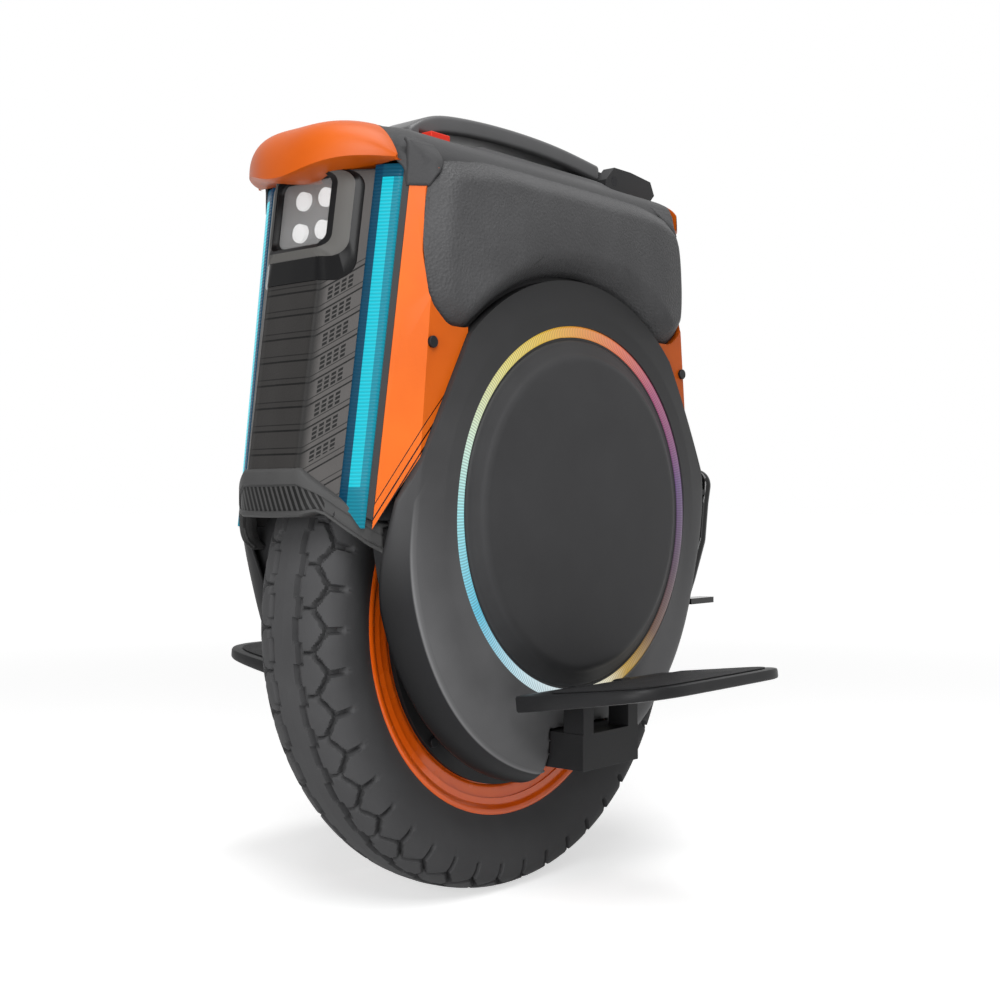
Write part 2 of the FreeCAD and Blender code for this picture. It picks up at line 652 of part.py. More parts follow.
def solid_feature(name, shape):
    """A sub-part whose shape is worked out here from the sheet's sizes."""
    feature = doc.addObject("Part::Feature", name)
    feature.Shape = shape
    return feature


def bent_tube(points, radius, largest=None):
    """A round tube along straight runs joined by tangent arcs."""
    edges = []
    radii = []
    start = points[0]
    for before, corner, after in zip(points, points[1:], points[2:]):
        back = (before - corner).normalize()
        ahead = (after - corner).normalize()
        half_turn = (math.pi - back.getAngle(ahead)) / 2
        reach = BEND_SHARE * min((before - corner).Length, (after - corner).Length)
        if largest:
            reach = min(reach, largest * math.tan(half_turn))
        bend_r = reach / math.tan(half_turn)
        radii.append(bend_r)
        inward = (back + ahead).normalize()
        middle = corner + inward * (bend_r / math.cos(half_turn) - bend_r)
        edges.append(Part.LineSegment(start, corner + back * reach).toShape())
        edges.append(Part.Arc(corner + back * reach, middle, corner + ahead * reach).toShape())
        start = corner + ahead * reach
    edges.append(Part.LineSegment(start, points[-1]).toShape())
    path = Part.Wire(edges)
    ring = Part.Wire(Part.makeCircle(radius, points[0], points[1] - points[0]))
    tube = path.makePipeShell([ring], True, False)
    expected = math.pi * radius ** 2 * path.Length
    print("tube volume over section times length: %.4f" % (tube.Volume / expected))
    print("bend radii: " + ", ".join("%.1f" % bend_r for bend_r in radii))
    return tube


def rounded_loop(points, radii):
    """A closed wire of lines with tangent arcs at its corners."""
    edges = []
    count = len(points)
    touches = []
    for i, corner in enumerate(points):
        back = (points[i - 1] - corner)
        ahead = (points[(i + 1) % count] - corner)
        half_turn = (math.pi - back.getAngle(ahead)) / 2
        reach = min(radii[i] * math.tan(half_turn), BEND_SHARE * min(back.Length, ahead.Length))
        bend_r = reach / math.tan(half_turn)
        back.normalize()
        ahead.normalize()
        inward = (back + ahead).normalize()
        middle = corner + inward * (bend_r / math.cos(half_turn) - bend_r)
        touches.append((corner + back * reach, middle, corner + ahead * reach))
    for i, (start, middle, stop) in enumerate(touches):
        edges.append(Part.Arc(start, middle, stop).toShape())
        edges.append(Part.LineSegment(stop, touches[(i + 1) % count][0]).toShape())
    return Part.Wire(edges)


def drawn_in(points, inset):
    """A closed outline in X and Z moved inward by a length."""
    count = len(points)
    moved = []
    for i, spot in enumerate(points):
        back = (spot - points[i - 1]).normalize()
        ahead = (points[(i + 1) % count] - spot).normalize()
        along = (back + ahead).normalize()
        inward = Vec(-along.z, 0, along.x)
        moved.append(spot + inward * (inset / along.dot(back)))
    return moved


# The wheel: tyre, tube, rim and motor shell turn together about the axle.

BEAD_Y = "(rim_half_w - rim_flange_t)"
SEAT_R = "(rim_bed_r + rim_seat_rise)"


def tyre_point(share, wide):
    """A point of the tyre's section from its shares of height and half width."""
    return ("rim_r + %g * (tyre_r - rim_r)" % share, "%g * tyre_half_w" % wide if wide else "0")


tyre_inner = [tyre_point(*shares) for shares in TYRE_INNER_SHARES]
tyre_outer = [tyre_point(*shares) for shares in TYRE_OUTER_SHARES]
bead = [("rim_r + lip_gap", BEAD_Y), (SEAT_R, BEAD_Y), (SEAT_R, BEAD_Y + " - bead_w")]
tyre = turned("tyre", [both_sides(tyre_outer + bead + tyre_inner)], "tyre_r")
ring_cut = [("tyre_r - tread_depth", "tread_rib_half"), ("tyre_r + overrun", "tread_rib_half"),
            ("tyre_r + overrun", "tread_rib_half + tread_groove_w"),
            ("tyre_r - tread_depth", "tread_rib_half + tread_groove_w")]
ring_cut_right = [(r, minus(y)) for r, y in ring_cut]
groove_sketch = body_sketch(tyre, "tread_groove_section", "XY_Plane", [ring_cut, ring_cut_right])
groove = tyre.newObject("PartDesign::Groove", "tread_grooves")
groove.Profile = groove_sketch
groove.ReferenceAxis = (groove_sketch, ["V_Axis"])
groove.Angle = FULL_TURN
slot = [(tyre_point(*shares)[0] + " - tread_depth", tyre_point(*shares)[1]) for shares in TREAD_EDGE_SHARES]
slot += [(slot[-1][0], "tyre_half_w + overrun"), ("tyre_r + overrun", "tyre_half_w + overrun"),
         ("tyre_r + overrun", slot[0][1])]
slot_right = [(r, minus(y)) for r, y in slot]
slots = pocketed(tyre, "tread_slots", "XY_Plane", [slot, slot_right], "tread_slot_w")
repeated(tyre, [slots], "tread_pitches")
keep(tyre, "tyre")

tube_half = list(reversed(tyre_inner)) + [(SEAT_R, BEAD_Y + " - bead_w"),
                                          ("rim_bed_r", "rim_bed_half"), ("rim_bed_r", "0")]
tube_air = [("tube_mid_r + %g * (%s - tube_mid_r)" % (TUBE_AIR_SHARE, r),
             "0" if y == "0" else "%g * (%s)" % (TUBE_AIR_SHARE, y)) for r, y in tube_half]
tube_whole = turned("tube_whole", [both_sides(tube_half)], "tyre_r")
tube_space = turned("tube_space", [both_sides(tube_air)], "tyre_r")
keep(cut("inner_tube", tube_whole, tube_space), "inner_tube")

rim_half = [("rim_bed_r", "0"), ("rim_bed_r", "rim_bed_half"), (SEAT_R, BEAD_Y + " - bead_w"),
            (SEAT_R, BEAD_Y), ("rim_r", BEAD_Y), ("rim_r", "rim_half_w"),
            ("rim_r - rim_lip", "rim_half_w"), ("rim_face_r", "rim_face_half"),
            ("rotor_r", "rim_face_half"), ("rotor_r", "0")]
rim_turned = turned("rim_turned", [both_sides(rim_half)], "tyre_r")


def ring_of_rods(name, radius, place_r, start, end, count):
    """Rods along Y, evenly round the axle."""
    body = doc.addObject("PartDesign::Body", name)
    place(body, ("0", start, "tyre_r"))
    sketch = body.newObject("Sketcher::SketchObject", name + "_section")
    sketch.AttachmentSupport = [(origin_feature(body, "XZ_Plane"), "")]
    sketch.MapMode = "FlatFace"
    sketch.addGeometry(Part.Circle(Vec(value(place_r)), Vec(0, 0, 1), value(radius)), False)
    sketch.addConstraint([Sketcher.Constraint("DistanceX", -1, 1, 0, 3, value(place_r)),
                          Sketcher.Constraint("PointOnObject", 0, 3, -1),
                          Sketcher.Constraint("Radius", 0, value(radius))])
    bind(sketch, "Constraints[0]", place_r)
    bind(sketch, "Constraints[2]", radius)
    pad = body.newObject("PartDesign::Pad", name + "_pad")
    pad.Profile = sketch
    pad.Reversed = True
    bind(pad, "Length", "(%s) - (%s)" % (end, start))
    repeated(body, [pad], count)
    return body


SCREW_SEAT = "rim_face_half + cover_t"
screw_shanks = ring_of_rods("cover_screw_shanks", "screw_r - run_fit", "cover_screw_place_r",
                            SCREW_SEAT + " - screw_grip", SCREW_SEAT, "cover_screw_count")
screw_heads = ring_of_rods("cover_screw_heads", "screw_head_r", "cover_screw_place_r",
                           SCREW_SEAT, SCREW_SEAT + " + screw_head_h", "cover_screw_count")
screw_holes = ring_of_rods("cover_screw_holes", "screw_r", "cover_screw_place_r",
                           SCREW_SEAT + " - screw_grip", SCREW_SEAT + " + overrun", "cover_screw_count")
screw_holes_right = mirror("cover_screw_holes_right", screw_holes, LEFT_RIGHT)
keep_twins(joined("cover_screws_left", screw_shanks, screw_heads), "motor_cover_screws")

VALVE_AT = ("0", "valve_in", "tyre_r + valve_place_r")
valve = rod("valve_stem", "Y", "valve_r", "valve_out - valve_in", VALVE_AT)
valve_hole = rod("valve_hole", "Y", "valve_r", "valve_out - valve_in", VALVE_AT)
keep(cut("rim", rim_turned, screw_holes, screw_holes_right, valve_hole), "rim")
keep(valve, "valve_stem")

magnets = turned("rotor_magnets", [[("rotor_r - magnet_t", "-magnet_half"), ("rotor_r", "-magnet_half"),
                                    ("rotor_r", "magnet_half"), ("rotor_r - magnet_t", "magnet_half")]],
                 "tyre_r", "magnet_span")
repeated(magnets, [magnets.Tip], "magnet_count")
keep(magnets, "rotor_magnets")

cover_section = [("rim_face_r - seam_gap", "rim_face_half"), ("rim_face_r - seam_gap", SCREW_SEAT),
                 ("cover_step_r", SCREW_SEAT), ("cover_dome_r", "cover_dome_y"),
                 ("hub_boss_r + cover_t", "hub_half"),
                 ("bearing_r", "hub_half"), ("bearing_r", "hub_half - bearing_w"),
                 ("hub_boss_r", "hub_half - bearing_w"), ("hub_boss_r", "hub_half - cover_t"),
                 ("cover_dome_r - cover_t", "cover_dome_y - cover_t"),
                 ("cover_step_r - cover_t", "rim_face_half")]
cover_turned = turned("motor_cover_turned", [cover_section], "tyre_r")
keep_pair(cut("motor_cover_left", cover_turned, screw_holes), "motor_cover")
bearing = turned("wheel_bearing", [[("axle_r + run_fit", "hub_half - bearing_w"),
                                    ("bearing_r", "hub_half - bearing_w"),
                                    ("bearing_r", "hub_half"), ("axle_r + run_fit", "hub_half")]], "tyre_r")
keep_twins(bearing, "wheel_bearings")

# The axle and the stator stand still inside the wheel.

FRAME_OUT = "(frame_in + frame_t)"
HANGER_OUT = "(frame_in + frame_t + hanger_t)"
AXLE_HALF = "(%s + nut_t + axle_tip)" % HANGER_OUT
COLLAR_IN = "(hub_half + body_gap)"
axle_right = [("axle_bore_r", minus(AXLE_HALF)), ("axle_end_r", minus(AXLE_HALF)),
              ("axle_end_r", minus(HANGER_OUT)),
              ("axle_r", minus(HANGER_OUT)), ("axle_r", "-frame_in"), ("axle_collar_r", "-frame_in"),
              ("axle_collar_r", minus(COLLAR_IN)), ("axle_r", minus(COLLAR_IN)),
              ("axle_r", "-axle_core_half"),
              ("axle_core_r", "-axle_core_half")]
axle_left = [(r, y[1:]) for r, y in reversed(axle_right[1:])]
axle_section = axle_right + axle_left + [("0", AXLE_HALF), ("0", "-axle_bore_end"),
                                         ("axle_bore_r", "-axle_bore_end")]
keep(turned("axle", [axle_section], "tyre_r"), "axle")
keep_twins(turned("axle_nut", [[("axle_end_r", HANGER_OUT), ("nut_r", HANGER_OUT),
                                ("nut_r", HANGER_OUT + " + nut_t"),
                                ("axle_end_r", HANGER_OUT + " + nut_t")]], "tyre_r"), "axle_nuts")

STATOR_R = "(rotor_r - magnet_t - air_gap)"
stator_half = [("axle_core_r", "0"), ("axle_core_r", "stator_web_half"), ("stator_ring_r", "stator_web_half"),
               ("stator_ring_r", "stator_half"), (STATOR_R, "stator_half"), (STATOR_R, "0")]
stator = turned("stator_core", [both_sides(stator_half)], "tyre_r")
stator_slot = [("slot_floor_r", "-slot_w / 2"), (STATOR_R + " + overrun", "-slot_w / 2"),
               (STATOR_R + " + overrun", "slot_w / 2"), ("slot_floor_r", "slot_w / 2")]
stator_slots = pocketed(stator, "stator_slots", "XZ_Plane", [stator_slot], "2 * (stator_half + overrun)")
repeated(stator, [stator_slots], "slot_count")
keep(stator, "stator_core")
COIL_HALF_W = "(slot_w / 2 - coil_gap)"
coil = [("slot_floor_r", minus(COIL_HALF_W)), (STATOR_R + " - coil_drop", minus(COIL_HALF_W)),
        (STATOR_R + " - coil_drop", COIL_HALF_W), ("slot_floor_r", COIL_HALF_W)]
windings = padded("stator_windings", [coil], "tyre_r", "coil_half")
repeated(windings, [windings.Tip], "slot_count")
keep(windings, "stator_windings")

# Frame plates, wheel arch and what they carry inside the casing.

plate_right = [("frame_low_x", "frame_low_z"), ("frame_mid_x", "frame_mid_z"),
               ("frame_mid_x", "frame_high_z"),
               ("frame_top_x", "frame_top_z")]
plate_rear = [("-(%s - rear_short)" % x, z) for x, z in reversed(plate_right)]
plate = prism("frame_plate", "XZ", plate_right + plate_rear, "frame_in", FRAME_OUT)
axle_hole = rod("axle_hole", "Y", "axle_r", HANGER_OUT, ("0", "0", "tyre_r"))
keep_twins(cut("frame_left", plate, axle_hole), "frame_plates")

ARCH_R = "(tyre_r + arch_clear)"
arch_section = [(ARCH_R, "-frame_in"), (ARCH_R + " + arch_t", "-frame_in"),
                (ARCH_R + " + arch_t", "frame_in"),
                (ARCH_R, "frame_in")]
arch = turned("wheel_arch", [arch_section], "tyre_r", "%g - 2 * arch_start" % (2 * QUARTER_TURN))
arch.Placement = FreeCAD.Placement(Vec(), FreeCAD.Rotation(Vec(0, 1, 0),
                                                           2 * QUARTER_TURN + value("arch_start")))
place(arch, ("0", "0", "tyre_r"))
keep(arch, "wheel_arch")

keep_twins(block("battery_left", ("-battery_half_x", "battery_half_x"),
                 (FRAME_OUT, FRAME_OUT + " + battery_t"),
                ("battery_low_z", "battery_high_z")), "battery_packs")

sink_base = block("sink_base", ("-sink_half_x", "sink_half_x"), ("-frame_in", "frame_in"),
                  ("sink_high_z - sink_base_t", "sink_high_z"))
SINK_STEP = "(2 * (frame_in - board_margin) - sink_fin_t) / (sink_fins - 1)"
fins = [block("sink_fin_%d" % i, ("-sink_half_x", "sink_half_x"),
              ("board_margin - frame_in + %d * %s" % (i, SINK_STEP),
               "board_margin - frame_in + %d * %s + sink_fin_t" % (i, SINK_STEP)),
              ("sink_low_z", "sink_high_z - sink_base_t")) for i in range(int(value("sink_fins")))]
keep(joined("heat_sink", sink_base, *fins), "heat_sink")

BOARD_TOP = "(sink_high_z + board_t)"
board = block("board_plate", ("board_margin - sink_half_x", "sink_half_x - board_margin"),
              ("board_margin - frame_in", "frame_in - board_margin"), ("sink_high_z", BOARD_TOP))
capacitors = [rod("capacitor_%d" % i, "Z", "capacitor_r", "capacitor_h",
                  ("sink_half_x - board_margin - 2 * capacitor_r", "%d * 3 * capacitor_r" % i, BOARD_TOP))
              for i in (-1, 0, 1)]
keep(joined("controller_board", board, *capacitors), "controller_board")

# The motor cable leaves the axle's right end, rises behind the battery and comes down on the board.
CABLE_END_Y = value("-(%s)" % AXLE_HALF)
CABLE_TURN_Y = CABLE_END_Y - value("4 * cable_r")
CABLE_SIDE = -value("cable_side_y")
CABLE_X = -value("cable_back_x")
CABLE_TOP = value("frame_top_z")
CABLE_BOARD_X = -value("sink_half_x - board_margin - 3 * cable_r")
CABLE_BOARD_Y = -value("frame_in - board_margin - 4 * cable_r")
CABLE_MIDDLE = (value("tyre_r") + value("battery_low_z")) / 2
cable_route = [Vec(0, CABLE_END_Y + value("axle_bore_end"), value("tyre_r")),
               Vec(0, CABLE_TURN_Y, value("tyre_r")),
               Vec(CABLE_X / 2, CABLE_TURN_Y, (value("tyre_r") + CABLE_MIDDLE) / 2),
               Vec(CABLE_X, CABLE_SIDE, CABLE_MIDDLE),
               Vec(CABLE_X, CABLE_SIDE, value("battery_high_z + 3 * cable_r")),
               Vec((CABLE_X + CABLE_BOARD_X) / 2, (CABLE_SIDE + CABLE_BOARD_Y) / 2, CABLE_TOP),
               Vec(CABLE_BOARD_X, CABLE_BOARD_Y, CABLE_TOP),
               Vec(CABLE_BOARD_X, CABLE_BOARD_Y, value(BOARD_TOP))]
keep(solid_feature("motor_cable", bent_tube(cable_route, value("cable_r"))), "motor_cable")

# Pedal hangers hold the pedals' hinge pins below the covers.

EAR_IN = "(hinge_half_x + body_gap)"
EAR_OUT = "(hinge_half_x + body_gap + hinge_ear_t)"
hanger_plate = block("hanger_plate", ("-hanger_half_x", "hanger_half_x"), (FRAME_OUT, HANGER_OUT),
                     ("arm_low_z", "hanger_top_z"))
hanger_arm = block("hanger_arm", ("-hanger_half_x", "hanger_half_x"), (HANGER_OUT, "hinge_y + hinge_ear_r"),
                   ("arm_low_z", "arm_high_z"))
EAR_SPANS = ((EAR_IN, EAR_OUT), (minus(EAR_OUT), minus(EAR_IN)))
ears = []
for i, span in enumerate(EAR_SPANS):
    ears.append(block("hanger_ear_%d" % i, span, ("hinge_y - hinge_ear_r", "hinge_y + hinge_ear_r"),
                      ("arm_high_z", "hinge_z")))
    ears.append(rod("hanger_eye_%d" % i, "X", "hinge_ear_r", "hinge_ear_t", (span[0], "hinge_y", "hinge_z")))
hinge_pin = rod("hinge_pin", "X", "hinge_pin_r", "2 * " + EAR_OUT, (minus(EAR_OUT), "hinge_y", "hinge_z"))
hinge_hole = rod("hinge_hole", "X", "hinge_pin_r", "2 * " + EAR_OUT, (minus(EAR_OUT), "hinge_y", "hinge_z"))
hanger_axle_hole = rod("hanger_axle_hole", "Y", "axle_r", HANGER_OUT + " + overrun", ("0", "0", "tyre_r"))
hanger = joined("hanger_body", hanger_plate, hanger_arm, *ears)
keep_twins(cut("hanger_left", hanger, hinge_hole, hanger_axle_hole), "pedal_hangers")
keep_twins(hinge_pin, "pedal_pins")


def on_hinge(pedal_piece):
    """Sets a piece, made round the hinge line at the origin, on the left hinge with its tilt."""
    pedal_piece.Placement = FreeCAD.Placement(Vec(), FreeCAD.Rotation(Vec(1, 0, 0), value("pedal_tilt")))
    place(pedal_piece, ("0", "hinge_y", "hinge_z"))
    return pedal_piece


def pedal_plan(inset, inner):
    """The pedal from above, drawn in by an inset, from an inner edge outward."""
    out = "pedal_out - %s" % inset
    back = "-(pedal_back_x - %s)" % inset
    return [(back, inner), ("pedal_front_in_x - %s" % inset, inner),
            ("pedal_front_x - %s" % inset, out + " - pedal_round", "pedal_round", 1),
            ("pedal_front_x - %s - pedal_round" % inset, out),
            (back + " + pedal_round", out, "pedal_round", 1),
            (back, out + " - pedal_round")]


pedal_top_view = prism("pedal_top_view", "XY", pedal_plan("0", "-pedal_in"), "-pedal_t", "2 * pedal_t")
PEDAL_LOW = "pedal_top - pedal_t"
pedal_side_view = prism("pedal_side_view", "YZ", [("-pedal_in", PEDAL_LOW), ("hinge_ear_r * 2", PEDAL_LOW),
                                                  ("pedal_out", "pedal_top - pedal_edge_t"),
                                                  ("pedal_out", "pedal_top"),
                                                  ("-pedal_in", "pedal_top")],
                        "-(pedal_back_x + overrun)", "pedal_front_x + overrun")
pedal_plate = shared("pedal_plate", pedal_top_view, pedal_side_view)
NOTCH_OUT = "(hinge_ear_r + pedal_relief)"
pedal_notch = block("pedal_notch", ("-(%s + pedal_relief)" % EAR_OUT, EAR_OUT + " + pedal_relief"),
                    ("-(pedal_in + overrun)", NOTCH_OUT), ("-2 * pedal_t", "2 * pedal_t"))
pedal_knuckle = rod("pedal_knuckle", "X", "hinge_knuckle_r", "2 * hinge_half_x", ("-hinge_half_x", "0", "0"))
pedal_web = block("pedal_web", ("-hinge_half_x", "hinge_half_x"), ("0", NOTCH_OUT + " + pedal_relief"),
                  (PEDAL_LOW, "pedal_top"))
pedal_bore = rod("pedal_bore", "X", "hinge_pin_r + run_fit", "2 * (hinge_half_x + overrun)",
                 ("-(hinge_half_x + overrun)", "0", "0"))
pedal_solid = joined("pedal_solid", cut("pedal_notched", pedal_plate, pedal_notch), pedal_knuckle, pedal_web)
keep_pair(on_hinge(cut("pedal_left", pedal_solid, pedal_bore)), "pedal")
grip = prism("pedal_grip_left", "XY", pedal_plan("grip_margin", NOTCH_OUT + " + grip_margin"),
             "pedal_top", "pedal_top + grip_t")
keep_pair(on_hinge(grip), "pedal_grip")

# The body shell: two trays that meet in the middle plane, open over the wheel and behind the discs.

SHELL_R = "(shell_front_x + (lean_z - disc_z) * lean_share)"
SHELL_TOP_X = "(shell_front_x + (lean_z - shell_top_z) * lean_share)"


def tray_outline(inset, top):
    """Side view of the body shell: leaning ends over a half round bottom, drawn in by an inset."""
    low = "%s - %s" % (SHELL_R, inset)
    high = "%s - %s" % (SHELL_TOP_X, inset)
    round_r = "%s - rear_short / 2" % low
    return [(high, top), ("rear_short - (%s)" % high, top), ("rear_short - (%s)" % low, "disc_z", round_r, 1),
            ("rear_short / 2", "disc_z - (%s)" % round_r, round_r, 1), (low, "disc_z")]


tray = prism("tray", "XZ", tray_outline("0", "shell_top_z"), "0", "shell_side_y")
tray_hollow = prism("tray_hollow", "XZ", tray_outline("shell_t", "shell_top_z - shell_t"), "0",
                    "shell_side_y - shell_t")
wheel_room = rod("wheel_room", "Y", ARCH_R + " + arch_t + skin_gap", "2 * frame_in",
                 ("0", "-frame_in", "tyre_r"))
NOTCH_HALF_X = "(hanger_half_x + notch_gap)"
hanger_notch = block("hanger_notch", (minus(NOTCH_HALF_X), NOTCH_HALF_X), ("0", "disc_face_y"),
                     ("0", "arm_high_z + notch_gap"))
disc_opening = rod("disc_opening", "Y", "shell_open_r", "disc_face_y", ("0", "0", "disc_z"))
PANEL_SCREW_PLACES = (("panel_screw_x", "panel_screw_z"), ("rear_short - panel_screw_x", "panel_screw_z"))
screw_bores = [rod("panel_screw_bore_%d" % i, "Y", "screw_r", "screw_grip + overrun",
                   (x, "panel_y - screw_grip", z)) for i, (x, z) in enumerate(PANEL_SCREW_PLACES)]
keep_pair(cut("body_shell_left", tray, tray_hollow, wheel_room, hanger_notch, disc_opening, *screw_bores),
          "body_shell")

# Lower covers, with the seat for light ring and side disc.

SEAT_Y = "(shell_side_y + seat_t)"
dome = turned("dome", [[("ring_in_r - seat_lap", "shell_side_y"), ("dome_r", "shell_side_y"),
                        ("dome_r", "shell_side_y + dome_edge_t"), ("dome_mid_r", "dome_mid_y"),
                        ("(ring_out_r + dome_mid_r) / 2", "dome_y"),
                        ("ring_out_r", "dome_y"), ("ring_out_r", SEAT_Y),
                        ("ring_in_r - seat_lap", SEAT_Y)]], "disc_z")
bowl = turned("bowl", [[("bowl_r - bowl_w", "shell_side_y"),
                        ("bowl_r - bowl_turn_w - dome_t", "bowl_turn_y - dome_t"),
                        ("bowl_r - dome_t", "bowl_edge_y"), ("bowl_r - dome_t", "bowl_lip_y"),
                        ("bowl_r", "bowl_lip_y"), ("bowl_r", "bowl_edge_y"),
                        ("bowl_r - bowl_turn_w", "bowl_turn_y"), ("bowl_r - bowl_mid_w", "bowl_mid_y"),
                        ("bowl_r - bowl_w", "dome_mid_y")]], "bowl_z")
ring_room = rod("ring_room", "Y", "ring_out_r", "disc_face_y", ("0", "0", "disc_z"))
tray_room = prism("tray_room", "XZ", tray_outline("-run_fit", "top_z"), "0", "shell_side_y")
tray_rooms = joined("tray_rooms", tray_room, mirror("tray_room_right", tray_room, LEFT_RIGHT))
cover_whole = joined("cover_whole", dome, cut("bowl_open", bowl, ring_room))
SPLIT_Z = "(disc_z + sqrt(dome_mid_r^2 - split_x^2))"


def cover_area(name, grow):
    """Where the lower cover may be seen from the side, grown by a length along its upper edge."""
    corner_z = "%s + %s" % (SPLIT_Z, grow)
    arch = "sqrt(split_x^2 + (%s - disc_z)^2)" % corner_z
    low_z = "split_low_z + %s" % grow
    floor = "bowl_z - bowl_r - overrun"
    return prism(name, "XZ", [
        ("split_x", corner_z, arch, 1), ("0", "disc_z + " + arch, arch, 1), ("-split_x", corner_z),
        ("-split_low_x", low_z), ("-split_low_x", floor), ("split_low_x", floor), ("split_low_x", low_z)],
        "0", "disc_face_y")


PANEL_IN = "(border_y + body_gap)"
TOP_REACH = "top_z + overrun"
PANEL_LOW = "split_low_z"
front_room = leaning("front_room", [("shell_front_x - overrun", "0"), ("2 * nose_x", "0"),
                                    ("2 * nose_x", PANEL_IN),
                                    ("shell_front_x - overrun", PANEL_IN)], PANEL_LOW + " - overrun",
                     TOP_REACH)
cover_seen = shared("cover_seen", cover_whole, cover_area("cover_region", "0"))
keep_pair(cut("lower_cover_left", cover_seen, hanger_notch, tray_room, front_room,
              to_rear("rear_room", front_room)), "lower_cover")

keep_twins(turned("led_ring", [[("ring_in_r", SEAT_Y), ("ring_out_r", SEAT_Y),
                                ("ring_out_r", SEAT_Y + " + ring_t"),
                                    ("ring_in_r", SEAT_Y + " + ring_t")]], "disc_z"), "led_rings")
DISC_R = "(ring_in_r - run_fit)"
keep_pair(turned("side_disc_left", [[("0", "disc_face_y - disc_t"), ("disc_rim_r", "disc_face_y - disc_t"),
                                     ("disc_rim_r", SEAT_Y), (DISC_R, SEAT_Y),
                                     (DISC_R, SEAT_Y + " + disc_edge_t"),
                                     ("disc_flat_r", "disc_face_y"), ("0", "disc_face_y")]], "disc_z"),
          "side_disc")

# Leg pads: cushions with a crowned face and drawn-in sides.


def pad_half(length, corner_x):
    """One end of the leg pad's outline at its widest, from the middle of its arch to its top."""
    middle = value("disc_z")
    radius = value("pad_arc_r")
    corner_z = middle + math.sqrt(radius ** 2 - corner_x ** 2)
    sweep = math.asin(corner_x / radius)
    arc = [Vec(radius * math.sin(sweep * s), 0,
               middle + radius * math.cos(sweep * s)) for s in PAD_ARC_SHARES]
    rise = value("pad_top_z") - corner_z
    edge = [Vec(corner_x + (length - corner_x) * x, 0, corner_z + rise * z) for x, z in PAD_EDGE_SHARES]
    return arc + [Vec(corner_x, 0, corner_z)] + edge


def pad_wire(y, inset, rear_left):
    """The leg pad's outline at a distance from the middle plane."""
    corner_x = value("pad_back_corner_x")
    front = pad_half(value("pad_front_x"), value("pad_corner_x"))
    rear = pad_half(corner_x + (value("pad_back_x") - corner_x) * rear_left, corner_x)
    around = front + [Vec(-spot.x, 0, spot.z) for spot in reversed(rear[1:])]
    spots = [spot + Vec(0, y, 0) for spot in drawn_in(around, inset)]
    return rounded_loop(spots, [value("pad_round")] * len(spots))


pad_levels = [pad_wire(value("shell_side_y") + value("pad_t") * deep, value("pad_soft") * inset, rear_left)
              for deep, inset, rear_left in PAD_LEVEL_SHARES]
keep_pair(solid_feature("leg_pad_left", Part.makeLoft(pad_levels, True, True)), "leg_pad")
pad_face = Part.Face(pad_wire(value("shell_side_y - seam_gap"), -value("seam_gap"), 1))
pad_room = solid_feature("pad_room", pad_face.extrude(Vec(0, value("disc_face_y"), 0)))

# Side panels: a flat plate beside the pad and a chamfered strip along the front.

panel_view = prism("panel_view", "XZ", [("nose_x", "shell_top_z"), ("pad_corner_x", "shell_top_z"),
                                        ("pad_corner_x", PANEL_LOW), ("nose_x", PANEL_LOW)],
                   "nose_corner_y", "panel_y")
CHAMFER_OUT = "2 * panel_y - " + PANEL_IN
chamfer = leaning("panel_chamfer", [("border_x", PANEL_IN), ("2 * nose_x", PANEL_IN),
                                    ("2 * nose_x", CHAMFER_OUT),
                                    ("2 * panel_flat_x - border_x", CHAMFER_OUT)], PANEL_LOW + " - overrun",
                  TOP_REACH)
panel_front = cut("panel_front", panel_view, front_room, chamfer)
cover_room = cover_area("cover_room", "seam_gap")
panel = cut("side_panel_left", panel_front, tray_room, cover_room, pad_room, screw_bores[0])
keep_pair(panel, "side_panel")
rear_panel = cut("rear_side_panel", to_rear("panel_rear", panel_front), tray_room, cover_room, pad_room,
                 screw_bores[1])
keep_twins(rear_panel, "rear_side_panels")
panel_screws = []
for i, (x, z) in enumerate(PANEL_SCREW_PLACES):
    shank = rod("panel_shank_%d" % i, "Y", "screw_r - run_fit", "screw_grip", (x, "panel_y - screw_grip", z))
    head = rod("panel_head_%d" % i, "Y", "screw_head_r", "screw_head_h", (x, "panel_y", z))
    panel_screws.append(joined("panel_screw_%d" % i, shank, head))
    panel_screws.append(mirror("panel_screw_image_%d" % i, panel_screws[-1], LEFT_RIGHT))
keep(group("panel_screws", *panel_screws), "panel_screws")

# Front: a hollow panel that leans forward towards its foot, with the two light bars let into it.

BAR_LEN = "sqrt((bar_in_x - bar_out_x)^2 + (bar_out_y - bar_in_y)^2)"
BAR_BACK_X = "bar_t * (bar_out_y - bar_in_y) / " + BAR_LEN
BAR_BACK_Y = "bar_t * (bar_in_x - bar_out_x) / " + BAR_LEN
bar_front = [("bar_in_x", "bar_in_y"), ("bar_out_x", "bar_out_y")]
bar_back = [("bar_out_x - " + BAR_BACK_X, "bar_out_y - " + BAR_BACK_Y),
            ("bar_in_x - " + BAR_BACK_X, "bar_in_y - " + BAR_BACK_Y)]
front_left = [("front_x", "front_half_y"), ("valley_x", "valley_y"), bar_front[0], bar_back[1], bar_back[0],
              bar_front[1], ("border_x", "border_y"), ("shell_front_x", "border_y")]
front_right = [(x, minus(y)) for x, y in reversed(front_left)]
NOSE_VIEW = [("nose_half_y", "nose_top_z"), ("nose_corner_y", "nose_corner_z"), ("border_y", "nose_side_z"),
             ("border_y", "nose_low_z - overrun")]
NOSE_VIEW = NOSE_VIEW + [(minus(y), z) for y, z in reversed(NOSE_VIEW)]
front_solid = leaning("front_solid", front_left + front_right, "nose_low_z", "shell_top_z")
CAVITY_Y = "(border_y - front_side_t)"
CAVITY_BAR_X = "bar_in_x - %s - front_t" % BAR_BACK_X
